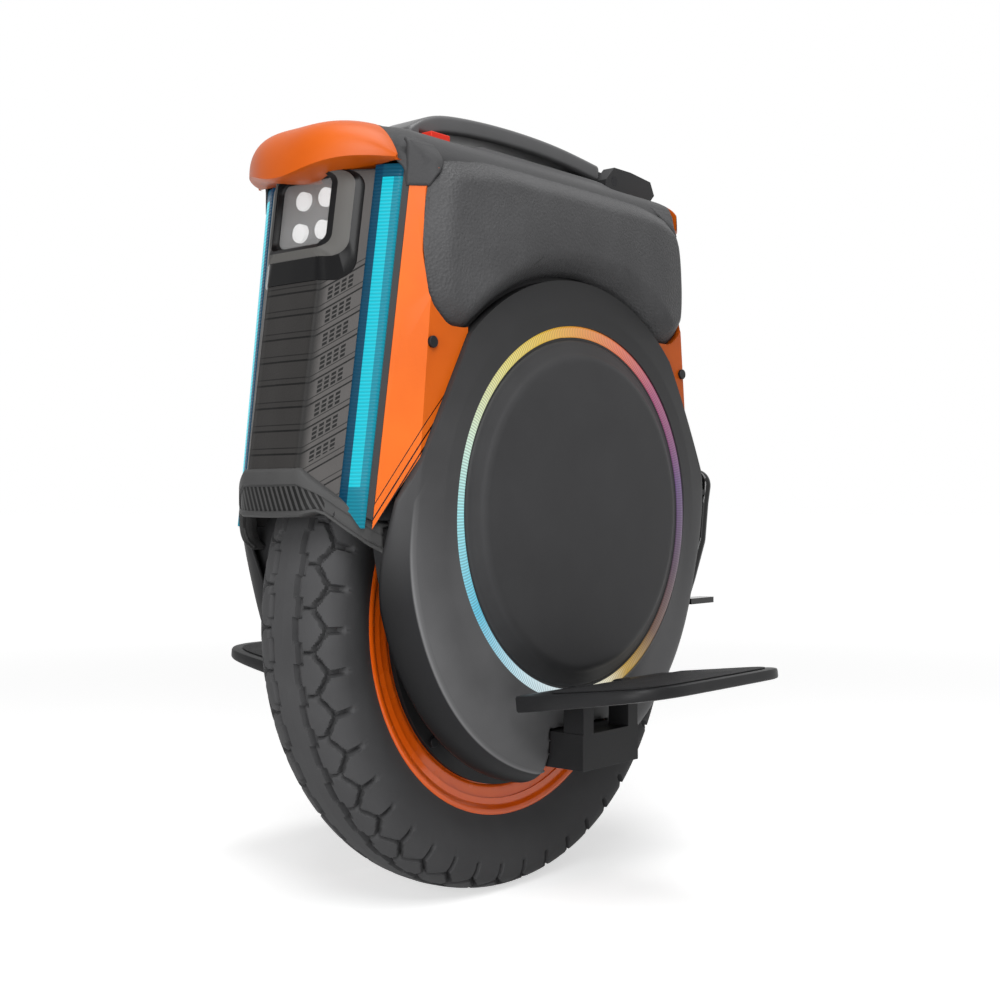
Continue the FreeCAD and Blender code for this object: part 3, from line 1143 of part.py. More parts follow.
cavity_left = [("front_x - front_t", "front_half_y - front_t"), ("valley_x - front_t", "valley_y - front_t"),
               (CAVITY_BAR_X, "bar_in_y - 2 * front_t"),
               ("bar_out_x - %s - front_t" % BAR_BACK_X, CAVITY_Y), ("shell_front_x - overrun", CAVITY_Y)]
cavity_right = [(x, minus(y)) for x, y in reversed(cavity_left)]
front_cavity = leaning("front_cavity", cavity_left + cavity_right, "nose_low_z - overrun",
                       "shell_top_z - front_t")
nose_room = prism("nose_room", "YZ", NOSE_VIEW, "shell_front_x", "nose_x + overrun")
LENS_BACK = "(lens_x - lens_t)"
HOUSING_BACK = "(lens_x - lens_t - led_t - housing_t)"


def lens_plan(back, front, grow):
    """Plan of something as wide as the headlight lens, grown by a length on each side."""
    side = "lens_half_y + %s" % grow
    return [(front, minus(side)), (front, side), (back, side), (back, minus(side))]


lamp_room = leaning("lamp_room", lens_plan(HOUSING_BACK, "front_x + overrun", "housing_t"),
                    "lens_low_z - housing_t", "lens_high_z + housing_t")
keep(cut("front_panel", front_solid, front_cavity, nose_room, lamp_room, tray_rooms, wheel_room),
     "front_panel")
bar_solid = leaning("bar_solid", bar_front + bar_back, "nose_low_z", "shell_top_z")
keep_twins(cut("light_bar", bar_solid, nose_room, wheel_room), "light_bars")

# Headlight: bezel on the panel, lens, LEDs and the housing behind them.

bezel_left = [("front_x + bezel_t", "front_half_y"), ("valley_x + bezel_t", "valley_y + bezel_t / 2"),
              ("bar_in_x + bezel_t", "bar_in_y"), ("bar_in_x + skin_gap", "bar_in_y"),
              ("valley_x + skin_gap", "valley_y"), ("front_x + skin_gap", "front_half_y")]
bezel_right = [(x, minus(y)) for x, y in reversed(bezel_left[:3])]
bezel_back = [(x, minus(y)) for x, y in bezel_left[5:2:-1]]
bezel_plan = bezel_left[:3] + bezel_left[3:] + bezel_back + bezel_right
bezel_solid = leaning("bezel_solid", bezel_plan, "bezel_low_z", "shell_top_z")
keep(cut("headlight_bezel", bezel_solid, lamp_room), "headlight_bezel")
keep(leaning("headlight_lens", lens_plan(LENS_BACK, "lens_x", "0"), "lens_low_z", "lens_high_z"),
     "headlight_lens")
housing_solid = leaning("housing_solid", lens_plan(HOUSING_BACK, "lens_x", "housing_t"),
                        "lens_low_z - housing_t", "lens_high_z + housing_t")
housing_hollow = leaning("housing_hollow", lens_plan(HOUSING_BACK + " + housing_t", "lens_x + overrun", "0"),
                         "lens_low_z", "lens_high_z")
keep(cut("headlight_housing", housing_solid, housing_hollow), "headlight_housing")
leds = []
LENS_MID = "((lens_low_z + lens_high_z) / 2)"
for i, (side, up) in enumerate(((1, 1), (1, -1), (-1, 1), (-1, -1))):
    led_z = "%s + %d * led_pitch / 2" % (LENS_MID, up)
    led = rod("led_%d" % i, "X", "led_r", "2 * led_t",
              ("lens_x - led_t + (lean_z - (%s)) * lean_share - 2 * led_t" % led_z,
               "%d * led_pitch / 2" % side, led_z))
    leds.append(led)
led_space = leaning("led_space", lens_plan(HOUSING_BACK + " + housing_t", LENS_BACK, "0"), "lens_low_z",
                    "lens_high_z")
keep(shared("headlight_leds", group("led_rods", *leds), led_space), "headlight_leds")

# Nose guard over the tyre, under the front panel.

nose_left = [("nose_x", "nose_half_y"), ("nose_corner_x", "nose_corner_y"), ("nose_back_x", "nose_side_y")]
nose_right = [(x, minus(y)) for x, y in reversed(nose_left)]
nose_plan = prism("nose_plan", "XY", nose_left + nose_right, "nose_low_z", "nose_top_z")
nose_view = prism("nose_view", "YZ", NOSE_VIEW, "nose_back_x", "nose_x")
nose_hollow_left = [("nose_x - nose_t", "nose_half_y - nose_t / 2"),
                    ("nose_corner_x - nose_t", "nose_corner_y - nose_t"),
                    ("nose_back_x - overrun", "nose_side_y - nose_t")]
nose_hollow_right = [(x, minus(y)) for x, y in reversed(nose_hollow_left)]
nose_hollow = prism("nose_hollow", "XY", nose_hollow_left + nose_hollow_right, "nose_low_z - overrun",
                    "nose_side_z - nose_t")
nose_arch = block("nose_arch", ("nose_back_x - overrun", "nose_x + overrun"), ("-frame_in", "frame_in"),
                  ("nose_low_z - overrun", "nose_arch_z"))
keep(cut("nose_guard", shared("nose_solid", nose_plan, nose_view), nose_hollow, nose_arch, wheel_room),
     "nose_guard")

# Top: visor at the front, cover in the middle, tail cap at the rear.


def level_wire(spots):
    """A closed wire of straight lines."""
    return Part.makePolygon(spots + spots[:1])


def tail_solid():
    """The tail cap: a stack of outlines that draw in towards the top."""
    length = value("tail_back_x - tail_front_x")
    wires = []
    for up, along, wide in TAIL_LEVEL_SHARES:
        z = value("shell_top_z") + value("tail_top_z - shell_top_z") * up
        left = [Vec(-value("tail_front_x") - length * along * x, value("tail_half_y") * wide * y, z)
                for x, y in TAIL_EDGE_SHARES]
        tip = Vec(-value("tail_front_x") - length * along, 0, z)
        wires.append(level_wire(left + [tip] + [Vec(spot.x, -spot.y, z) for spot in reversed(left)]))
    return Part.makeLoft(wires, True, True)


def between(start, stop, share):
    """A value part of the way between two formulas."""
    return value(start) + (value(stop) - value(start)) * share


def visor_solid():
    """The visor: sections across the width that shrink towards its side tips."""
    wires = []
    for wide, back_way, front_way, lip_way, height_left in HOOD_SECTION_SHARES:
        back = between("hood_back_x", "hood_tip_x", back_way)
        front = between("hood_front_x", "hood_tip_x", front_way)
        lip = between("hood_low_z", "hood_tip_z", lip_way)
        height = value("hood_top_z - hood_low_z") * height_left
        length = max(front - back, value("seam_gap"))
        y = value("hood_half_y") * wide
        wires.append(level_wire([Vec(back + length * x, y, lip + height * z) for x, z in HOOD_EDGE_SHARES]))
    rest = []
    for wire in reversed(wires[1:]):
        rest.append(level_wire([Vec(v.Point.x, -v.Point.y, v.Point.z) for v in wire.OrderedVertexes]))
    return Part.makeLoft(rest + wires, True, True)


def visor_plan(gap):
    """The visor's rear edge from above, closed far in front of it."""
    half = [(between("hood_back_x", "hood_tip_x", shares[1]) - gap, value("hood_half_y") * shares[0])
            for shares in HOOD_SECTION_SHARES]
    half.append((half[-1][0], value("2 * hood_half_y")))
    half.append((value("2 * hood_front_x"), value("2 * hood_half_y")))
    spots = [Vec(x, y, 0) for x, y in half]
    return level_wire(spots + [Vec(spot.x, -spot.y, 0) for spot in reversed(spots[1:])])


visor_whole = solid_feature("visor_whole", visor_solid())
PANEL_GAP = "(bezel_t + seam_gap)"
hood_front_room = prism("hood_front_room", "XY", [
    ("0", "-hood_half_y"), ("front_x + " + PANEL_GAP, "-hood_half_y"),
    ("front_x + " + PANEL_GAP, "hood_half_y"),
    ("0", "hood_half_y")], "hood_low_z - overrun", "shell_top_z")
keep(cut("visor", visor_whole, hood_front_room), "visor")
visor_face = Part.Face(visor_plan(value("seam_gap")))
visor_room = solid_feature("visor_room", visor_face.extrude(Vec(0, 0, value("2 * top_z"))))
keep(solid_feature("tail_cap", tail_solid()), "tail_cap")


def top_profile(inset):
    """End view of the top cover, drawn in by a wall."""
    side = "top_side_y - %s" % inset
    left = [("top_flat_y - %s / 2" % inset, "top_z - %s" % inset),
            ("top_mid_y - %s" % inset, "top_mid_z - %s" % inset),
            (side, "top_side_z - %s / 2" % inset), (side, "shell_top_z")]
    return left + [(minus(y), z) for y, z in reversed(left)]


top_solid = prism("top_solid", "YZ", top_profile("0"), "-tail_front_x", "hood_tip_x")
top_inner = prism("top_inner", "YZ", top_profile("top_t"), "top_t - tail_front_x",
                  "hood_back_x - seam_gap - top_t")
well = block("finger_well", ("-well_back_x", "well_front_x"), ("-well_half_y", "well_half_y"),
             ("well_z", "top_z + overrun"))
well_wall = block("finger_well_wall", ("-(well_back_x + top_t)", "well_front_x + top_t"),
                  ("-(well_half_y + top_t)", "well_half_y + top_t"), ("well_z - top_t", "top_z + overrun"))
top_hollow = cut("top_hollow", top_inner, well_wall)
BUTTON_HOLE = "(button_r + body_gap)"
button_hole = rod("button_hole", "Z", BUTTON_HOLE, "4 * overrun", ("button_x", "0", "top_z - 2 * overrun"))
tab_slot = block("tab_slot", ("tab_back_x + tab_stem_half - body_gap - tab_travel",
                              "tab_front_x - tab_stem_half + body_gap"),
                 ("-(tab_stem_half + body_gap)", "tab_stem_half + body_gap"),
                 ("top_z - 2 * overrun", "top_z + overrun"))
rear_chamfer = to_rear("rear_chamfer", chamfer)
left_corners = joined("top_corners_left", chamfer, rear_chamfer)
top_corners = joined("top_corners", left_corners, mirror("top_corners_right", left_corners, LEFT_RIGHT))
keep(cut("top_cover", top_solid, top_hollow, well, button_hole, tab_slot, visor_room, top_corners), "top_cover")

ROOF_IN = "(top_z - top_t)"
button_cap = rod("button_cap", "Z", "button_r", "button_h + top_t + body_gap + top_t",
                 ("button_x", "0", ROOF_IN + " - body_gap - top_t"))
button_foot = rod("button_foot", "Z", "button_r + button_flange", "top_t",
                  ("button_x", "0", ROOF_IN + " - body_gap - top_t"))
keep(joined("power_button", button_cap, button_foot), "power_button")

tab_bar = block("tab_bar", ("tab_back_x", "tab_front_x"), ("-tab_half_y", "tab_half_y"),
                ("top_z + body_gap", "top_z + body_gap + tab_h"))
tab_stem = block("tab_stem", ("tab_back_x + tab_stem_half", "tab_front_x - tab_stem_half"),
                 ("-tab_stem_half", "tab_stem_half"), (ROOF_IN + " - body_gap", "top_z + body_gap"))
tab_foot = block("tab_foot", ("tab_back_x + tab_stem_half", "tab_front_x - tab_stem_half"),
                 ("-2 * tab_stem_half", "2 * tab_stem_half"),
                 (ROOF_IN + " - body_gap - top_t", ROOF_IN + " - body_gap"))
keep(joined("release_tab", tab_bar, tab_stem, tab_foot), "release_tab")

# Carry handle on its rear pin, and the block that holds the pin.

FOOT_LOW = "(top_z + body_gap)"
TAB_OVER = "(top_z + body_gap + tab_h + body_gap)"
HANDLE_LEN = "(handle_foot_x + pivot_x)"
handle_top = [("handle_foot_x - %g * %s" % (along, HANDLE_LEN),
               "%s + %g * (handle_top_z - %s)" % (FOOT_LOW, up, FOOT_LOW)) for along, up in HANDLE_TOP_SHARES]
handle_low = [(x, "%s - handle_t" % z) for x, z in reversed(handle_top[2:])]
handle_view = handle_top + [("-pivot_x", "pivot_z + knuckle_r", "knuckle_r", 1),
                            ("-pivot_x - knuckle_r", "pivot_z", "knuckle_r", 1),
                            ("-pivot_x", "pivot_z - knuckle_r")]
handle_view += handle_low + [("tab_front_x + body_gap - handle_foot_t", TAB_OVER),
                             ("tab_front_x + body_gap", TAB_OVER),
                             ("tab_front_x + body_gap", FOOT_LOW), ("handle_foot_x", FOOT_LOW)]
handle_solid = prism("handle_solid", "XZ", handle_view, "-handle_half_y", "handle_half_y")
handle_sides = [block("handle_side_%d" % i, ("-(pivot_x + 2 * knuckle_r)", "shoulder_r - pivot_x"), span,
                      ("pivot_z - 2 * handle_t", "pivot_z + 2 * handle_t"))
                for i, span in enumerate((("knuckle_half_y", "handle_half_y + overrun"),
                                          ("-(handle_half_y + overrun)", "-knuckle_half_y")))]
pivot_bore = rod("pivot_bore", "Y", "pivot_r + run_fit", "2 * block_half_y",
                 ("-pivot_x", "-block_half_y", "pivot_z"))
keep(cut("carry_handle", handle_solid, pivot_bore, *handle_sides), "carry_handle")

PIN_AT = ("-pivot_x", "-block_half_y", "pivot_z")
keep(rod("handle_pin", "Y", "pivot_r", "2 * block_half_y", PIN_AT), "handle_pin")
block_view = [("-pivot_x", "pivot_z + ear_round", "ear_round", -1), ("ear_round - pivot_x", "pivot_z"),
              ("ear_round - pivot_x", "top_z"), ("-block_end_x + ear_round", "top_z"),
              ("-block_end_x", "top_z + ear_round"),
              ("-block_end_x + ear_round / 2", "block_top_z"),
              ("-pivot_x - 2 * ear_round", "pivot_z + ear_round")]
block_loop = [point[:2] for point in reversed(block_view[1:])] + [block_view[0][:2]]
block_solid = prism("block_solid", "XZ", block_loop, "-block_half_y", "block_half_y")
block_slot = block("block_slot", ("-(pivot_x + shoulder_r)", "0"),
                   ("-(knuckle_half_y + body_gap)", "knuckle_half_y + body_gap"),
                   ("top_z + body_gap", "handle_top_z"))
pin_hole = rod("pin_hole", "Y", "pivot_r", "2 * block_half_y", PIN_AT)
keep(cut("handle_block", block_solid, block_slot, pin_hole), "handle_block")

# Rear: a hollow cover shaped like the front, with tail light, charge port and cap.

rear_left = [("front_x", "front_half_y"), ("bar_in_x", "bar_in_y"), ("border_x", "border_y"),
             ("shell_front_x", "border_y")]
rear_right = [(x, minus(y)) for x, y in reversed(rear_left)]
REAR_LOW = "(disc_z - rear_drop)"
rear_solid = leaning("rear_solid", rear_left + rear_right, REAR_LOW, "shell_top_z")
rear_cavity_left = [("front_x - front_t", "front_half_y - front_t"),
                    ("bar_in_x - front_t", "bar_in_y - front_t"),
                    ("border_x - front_t", "border_y - front_t"),
                    ("shell_front_x - overrun", "border_y - front_t")]
rear_cavity_right = [(x, minus(y)) for x, y in reversed(rear_cavity_left)]
rear_cavity = leaning("rear_cavity", rear_cavity_left + rear_cavity_right, REAR_LOW + " - overrun",
                      "shell_top_z - front_t")
TAIL_LIGHT_BACK = "(front_x - tail_light_t)"


def tail_light_plan(front):
    """Plan of the tail light up to a front."""
    return [(front, "-tail_light_half_y"), (front, "tail_light_half_y"),
            (TAIL_LIGHT_BACK, "tail_light_half_y"),
            (TAIL_LIGHT_BACK, "-tail_light_half_y")]


tail_pocket = leaning("tail_pocket", tail_light_plan("front_x + overrun"), "tail_light_low_z",
                      "tail_light_high_z")
port_pocket = rod("port_pocket", "X", "port_flange_r + seam_gap", "4 * overrun", ("port_x", "0", "port_z"))
port_hole = rod("port_hole", "X", "port_r", "port_len + overrun", ("port_x - port_len", "0", "port_z"))
port_boss = rod("port_boss", "X", "port_flange_r + seam_gap + front_t", "port_len",
                ("port_x - port_len / 2", "0", "port_z"))
rear_shell = cut("rear_shell", rear_solid, rear_cavity, tail_pocket)
rear_boss = joined("rear_boss", rear_shell, shared("port_boss_inside", port_boss, rear_solid))
CAP_HINGE_Z = "(port_z + port_flange_r + cap_barrel_r)"
CAP_HINGE_X = "(port_x + port_flange_t + body_gap + cap_t / 2)"
CAP_EAR_OUT = "(cap_barrel_half + body_gap + cap_ear_t)"
ear_room = block("cap_ear_room", ("port_x", "port_x + 4 * overrun"),
                 ("-(%s + seam_gap)" % CAP_EAR_OUT, CAP_EAR_OUT + " + seam_gap"),
                 ("port_z", CAP_HINGE_Z + " + 2 * cap_barrel_r"))
rear_front = cut("rear_cover_front", rear_boss, port_pocket, port_hole, ear_room)
CATCH_Z = "(kick_z + kick_len - 3 * kick_rod_r)"
catch_bar = block("catch_bar", ("-(kick_x + kick_len / 3)", "-(frame_mid_x + kick_bracket_w)"),
                  ("kick_y - kick_rod_r", "kick_y + kick_rod_r"), (CATCH_Z + " - kick_rod_r", CATCH_Z))
catch = cut("stand_catch", catch_bar, to_rear("rear_envelope", rear_solid))
rear_open = cut("rear_open", to_rear("rear_turned", rear_front), wheel_room, tray_rooms)
keep(joined("rear_cover", rear_open, catch), "rear_cover")
tail_light_front = leaning("tail_light_front", tail_light_plan("front_x"), "tail_light_low_z",
                           "tail_light_high_z")
keep(to_rear("tail_light", tail_light_front), "tail_light")

port_sleeve = rod("port_sleeve", "X", "port_r", "port_len + port_flange_t",
                  ("port_x - port_len", "0", "port_z"))
port_flange = rod("port_flange", "X", "port_flange_r", "port_flange_t", ("port_x", "0", "port_z"))
port_ears = [block("port_ear_%d" % i, ("port_x", CAP_HINGE_X + " + cap_barrel_r"), span,
                   ("port_z + port_r", CAP_HINGE_Z + " + cap_barrel_r"))
             for i, span in enumerate((("cap_barrel_half + body_gap", CAP_EAR_OUT),
                                       (minus(CAP_EAR_OUT), "-(cap_barrel_half + body_gap)")))]
ear_trim = rod("port_ear_trim", "X", "port_flange_r + cap_t / 2", "4 * overrun",
               ("port_x + port_flange_t", "0", "port_z"))
cap_pin = rod("cap_pin", "Y", "cap_pin_r", "2 * " + CAP_EAR_OUT,
              (CAP_HINGE_X, minus(CAP_EAR_OUT), CAP_HINGE_Z))
port_bore = rod("port_bore", "X", "port_bore_r", "port_len + port_flange_t + overrun",
                ("port_x - port_len + front_t", "0", "port_z"))
ears = cut("port_ears", joined("port_ear_pair", *port_ears), ear_trim)
port_body = joined("charge_port_body", port_sleeve, port_flange, cap_pin, ears)
port_front = cut("charge_port_front", port_body, port_bore)
keep(to_rear("charge_port", port_front), "charge_port")
CAP_BACK = "(port_x + port_flange_t + body_gap)"
cap_disc = rod("cap_disc", "X", "port_flange_r", "cap_t", (CAP_BACK, "0", "port_z"))
cap_arm = block("cap_arm", (CAP_BACK, CAP_BACK + " + cap_t"), ("-cap_barrel_half", "cap_barrel_half"),
                ("port_z + port_r", CAP_HINGE_Z))
cap_barrel = rod("cap_barrel", "Y", "cap_barrel_r", "2 * cap_barrel_half",
                 (CAP_HINGE_X, "-cap_barrel_half", CAP_HINGE_Z))
cap_bore = rod("cap_bore", "Y", "cap_pin_r + run_fit", "4 * cap_barrel_half",
               (CAP_HINGE_X, "-2 * cap_barrel_half", CAP_HINGE_Z))
cap_front = cut("charge_cap_front", joined("charge_cap_body", cap_disc, cap_arm, cap_barrel), cap_bore)
keep(to_rear("charge_cap", cap_front), "charge_cap")

# Kickstand: one bent rod behind the body, its inward ends in the brackets.

KICK_PIVOT = Vec(-value("kick_x"), 0, value("kick_z"))
KICK_LEN = value("kick_len")
KICK_Y = value("kick_y")
leg = [KICK_PIVOT + Vec(-KICK_LEN * back, KICK_Y, KICK_LEN * up) for back, up in KICK_LEG_SHARES]
leg_start = KICK_PIVOT + Vec(0, KICK_Y, 0)
kick_route = [leg_start] + leg
kick_route += [Vec(spot.x, -spot.y, spot.z) for spot in reversed(kick_route)]
kick_rod = bent_tube(kick_route, value("kick_rod_r"), value("kick_bend"))
PIVOT_IN = value("kick_bracket_y")
for sign in (1, -1):
    end = Vec(KICK_PIVOT.x, sign * KICK_Y, KICK_PIVOT.z)
    kick_rod = kick_rod.fuse(Part.makeSphere(value("kick_rod_r"), end))
    kick_rod = kick_rod.fuse(Part.makeCylinder(value("kick_pin_r"), KICK_Y - PIVOT_IN, end, Vec(0, -sign, 0)))
tab_back, tab_up = KICK_TAB_SHARES
kick_tab = Part.makeBox(value("kick_tab_len"), value("kick_tab_w"), value("kick_tab_t"),
                        KICK_PIVOT + Vec(-KICK_LEN * tab_back - value("kick_tab_len"),
                                         KICK_Y - value("kick_tab_w") / 2, KICK_LEN * tab_up))
keep(solid_feature("kickstand", kick_rod.fuse(kick_tab).removeSplitter()), "kickstand")

BRACKET_Y = ("kick_bracket_y", "kick_bracket_y + kick_bracket_t")
BRACKET_REACH = "sqrt(kick_x^2 + (disc_z - kick_z)^2)"
BRACKET_ANGLE = math.degrees(math.atan2(value("disc_z - kick_z"), value("kick_x")))
bracket_plate = block("bracket_plate", ("-" + BRACKET_REACH, "rear_short - " + SHELL_R), BRACKET_Y,
                      ("disc_z - kick_bracket_w / 2", "disc_z + kick_bracket_w / 2"))
bracket_arm = doc.addObject("Part::Compound", "bracket_arm")
bracket_arm.Links = [bracket_plate]
bracket_turn = FreeCAD.Rotation(Vec(0, 1, 0), -BRACKET_ANGLE)
bracket_arm.Placement = FreeCAD.Placement(Vec(), bracket_turn, Vec(0, 0, value("disc_z")))
bracket_boss = rod("bracket_boss", "Y", "kick_boss_r", "kick_bracket_t",
                   ("-kick_x", "kick_bracket_y", "kick_z"))
bracket_bore = rod("bracket_bore", "Y", "kick_pin_r + run_fit", "kick_bracket_t + 2 * overrun",
                   ("-kick_x", "kick_bracket_y - overrun", "kick_z"))
bracket = joined("bracket_body", bracket_arm, bracket_boss)
keep_twins(cut("kickstand_bracket", bracket, bracket_bore, tray_room), "kickstand_brackets")

doc.recompute()

# Every object must have come out well before anything is written.
failed = [thing.Label for thing in doc.Objects if {"Invalid", "Error"} & set(thing.State)]
for piece in SUBPARTS:
    if piece.Shape.isNull() or not piece.Shape.isValid() or not piece.Shape.Solids:
        failed.append(piece.Label)
if failed:
    raise RuntimeError("failed: " + ", ".join(failed))
os.makedirs("parts", exist_ok=True)
for piece in SUBPARTS:
    piece.Shape.exportStep("parts/%s.step" % piece.Label)
print("%d sub-parts written" % len(SUBPARTS))
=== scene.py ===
import json
import math

import bmesh
import bpy
import numpy as np
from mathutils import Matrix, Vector


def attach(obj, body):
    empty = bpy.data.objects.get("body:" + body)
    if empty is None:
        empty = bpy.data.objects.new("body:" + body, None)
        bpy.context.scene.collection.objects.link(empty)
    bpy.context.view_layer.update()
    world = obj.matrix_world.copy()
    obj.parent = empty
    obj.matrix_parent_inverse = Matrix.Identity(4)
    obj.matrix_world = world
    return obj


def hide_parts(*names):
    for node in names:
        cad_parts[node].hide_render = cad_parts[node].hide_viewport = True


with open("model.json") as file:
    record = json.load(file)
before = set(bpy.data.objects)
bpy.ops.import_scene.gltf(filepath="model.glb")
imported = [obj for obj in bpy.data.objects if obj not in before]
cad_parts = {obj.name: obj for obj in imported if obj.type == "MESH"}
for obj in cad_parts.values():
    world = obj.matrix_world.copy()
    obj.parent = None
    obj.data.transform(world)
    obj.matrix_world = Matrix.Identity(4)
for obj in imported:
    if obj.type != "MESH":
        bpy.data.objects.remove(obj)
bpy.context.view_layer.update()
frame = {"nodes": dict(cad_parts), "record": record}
NODES = frame["nodes"]
BODY_OF = {name: body for body, names in frame["record"]["behaviour"]["bodies"].items() for name in names}

# Lengths are in millimetres in the model's frame: +X forward, +Y to the rider's left, +Z up.
MM = 0.001
AXLE_Z = 210
DISC_Z = 287
RING_R = 137.5
# Below LEAN_Z the front leans out by LEAN per millimetre, less PINCH at the light bars' outer edge.
LEAN_Z = 507
LEAN, PINCH, BAR_OUT_Y = 0.1515, 0.0208, 68.5
# Welding distances are in metres; faces within FLAT_WITHIN degrees count as one.
WELD, SLIVER, FLAT_WITHIN = 1e-6, 1e-7, 0.5
CURVE_STEPS = 24


# Curves and meshes.

def way_along(points):
    """The length of a line of points up to each of them."""
    return np.concatenate([[0], np.cumsum(np.linalg.norm(np.diff(points, axis=0), axis=1))])


def smooth_line(points, count, closed=False):
    """A Catmull-Rom curve through points, read at even arc lengths.

    Between points b and c, with neighbours a and d, it is half of
    2b + (c - a)t + (2a - 5b + 4c - d)t^2 + (3b - a - 3c + d)t^3.
    """
    p = np.asarray(points, float)
    before, after = (p[-1:], p[:2]) if closed else (2 * p[:1] - p[1:2], 2 * p[-1:] - p[-2:-1])
    around = np.vstack([before, p, after])
    t = np.linspace(0, 1, CURVE_STEPS, endpoint=False)[:, None]
    a, b, c, d = (around[i:len(around) - 3 + i, None] for i in range(4))
    square, cube = 2 * a - 5 * b + 4 * c - d, 3 * b - a - 3 * c + d
    curve = (2 * b + (c - a) * t + square * t ** 2 + cube * t ** 3) / 2
    curve = np.vstack([curve.reshape(-1, p.shape[1]), p[:1] if closed else p[-1:]])
    length = way_along(curve)
    at = np.linspace(0, length[-1], count, endpoint=not closed)
    return np.stack([np.interp(at, length, column) for column in curve.T], axis=1)


def ease(low, high, x):
    """0 below low, 1 above high, and 3t^2 - 2t^3 between."""
    t = np.clip((x - low) / (high - low), 0, 1)
    return t * t * (3 - 2 * t)


def quads(rows, columns, wrap_rows, wrap_columns):
    """The faces of a grid numbered row by row; a wrapped side joins its last line to its first."""
    i, j = np.meshgrid(np.arange(rows - (not wrap_rows)), np.arange(columns - (not wrap_columns)),
                       indexing="ij")
    k, n = (i + 1) % rows, (j + 1) % columns
    return np.stack([i * columns + j, i * columns + n, k * columns + n, k * columns + j], -1).reshape(-1, 4)


def turned(profile, steps, height):
    """A profile of (radius, y) carried round the line along Y at a height: (r sin a, y, height + r cos a)."""
    a = np.linspace(0, 2 * np.pi, steps, endpoint=False)[:, None]
    r, y = np.asarray(profile, float).T
    return np.stack([r * np.sin(a), y + 0 * a, height + r * np.cos(a)], -1)


def mirrored(points):
    """The same grid on the other side of the middle plane."""
    return points * np.array([1, -1, 1])


def spots(*parts):
    """Points whose coordinates are numbers or grids that fit together."""
    return np.stack(np.broadcast_arrays(*parts), -1)


def drawn(loop, middle, share):
    """A loop drawn to a share of its way out from a middle point."""
    return middle + (loop - middle) * share


SIDES = (("left", np.copy), ("right", mirrored))


def make(name, body, finish, grids, nodes=(), slot=None, closed=True, sharp=35, drop=None,
         look_from=(0, 0, 300)):
    """A welded mesh of point grids, each (points, wrap rows, wrap columns[, uv]).

    Its faces point outward, or away from look_from where the surface is open. drop takes the faces'
    middles and says which of them are left out.
    """
    points, faces, marks, start = [], [], [], 0
    for grid, wrap_rows, wrap_columns, *uv in grids:
        rows, columns = grid.shape[:2]
        points.append(grid.reshape(-1, 3))
        faces.append(quads(rows, columns, wrap_rows, wrap_columns) + start)
        marks.append(uv[0].reshape(-1, 2) if uv else np.zeros((rows * columns, 2)))
        start += rows * columns
    points, faces, marks = np.vstack(points) * MM, np.vstack(faces), np.vstack(marks)
    if drop is not None:
        faces = faces[~drop(points[faces].mean(1) / MM)]
    mesh = bpy.data.meshes.new(name)
    mesh.from_pydata(points.tolist(), [], faces.tolist())
    order = np.zeros(len(mesh.loops), np.int32)
    mesh.loops.foreach_get("vertex_index", order)
    layer = mesh.uv_layers.new(name="flat")
    layer.data.foreach_set("uv", marks[order].astype(np.float32).ravel())
    shell = bmesh.new()
    shell.from_mesh(mesh)
    bmesh.ops.remove_doubles(shell, verts=shell.verts, dist=WELD)
    bmesh.ops.dissolve_degenerate(shell, dist=SLIVER, edges=shell.edges)
    bmesh.ops.delete(shell, geom=[v for v in shell.verts if not v.link_faces], context="VERTS")
    bmesh.ops.recalc_face_normals(shell, faces=shell.faces)
    middle = Vector(look_from) * MM
    outward = sum(f.normal.dot(f.calc_center_median() - middle) * f.calc_area() for f in shell.faces)
    if not closed and outward < 0:
        bmesh.ops.reverse_faces(shell, faces=shell.faces)
    shell.to_mesh(mesh)
    shell.free()
    return dress(bpy.data.objects.new(name, mesh), body, finish, nodes, slot, sharp)


def dress(thing, body, finish, nodes, slot, sharp):
    """Gives an object its finish, smooth shading with sharp edges over an angle, and its body."""
    bpy.context.scene.collection.objects.link(thing)
    thing.data.materials.clear()
    thing.data.materials.append(finish)
    thing.data.shade_smooth()
    thing.data.set_sharp_from_angle(angle=math.radians(sharp))
    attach(thing, body)
    if nodes:
        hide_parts(*nodes)
        slot = slot or next(s["material_slot"] for s in frame["record"]["subparts"] if s["node"] == nodes[0])
    return thing


def softened(node, finish, width, segments=3, angle=28):
    """A CAD node's shape with its triangles joined to whole faces and its edges rounded by a width."""
    mesh = NODES[node].data.copy()
    shell = bmesh.new()
    shell.from_mesh(mesh)
    bmesh.ops.remove_doubles(shell, verts=shell.verts, dist=WELD)
    bmesh.ops.dissolve_limit(shell, angle_limit=math.radians(FLAT_WITHIN), verts=shell.verts,
                             edges=shell.edges)
    shell.to_mesh(mesh)
    shell.free()
    thing = dress(bpy.data.objects.new(node + "_rounded", mesh), BODY_OF[node], finish, (node,), None, angle)
    if width:
        bevel = thing.modifiers.new("rounded_edges", "BEVEL")
        bevel.width = width * MM
        bevel.segments = segments
        bevel.limit_method = "ANGLE"
        bevel.angle_limit = math.radians(angle)
        bevel.miter_outer = "MITER_ARC"
        bevel.harden_normals = True
    return thing


def walled(thing, thickness):
    """Gives an open skin its wall, inward from its face."""
    wall = thing.modifiers.new("wall", "SOLIDIFY")
    wall.thickness = thickness * MM
    wall.offset = -1
    return thing


# Finishes.

def linear(code):
    """An sRGB hex colour as linear red, green, blue and alpha."""
    part = np.array([int(code[i:i + 2], 16) for i in (1, 3, 5)]) / 255
    return (*np.where(part <= 0.04045, part / 12.92, ((part + 0.055) / 1.055) ** 2.4), 1.0)


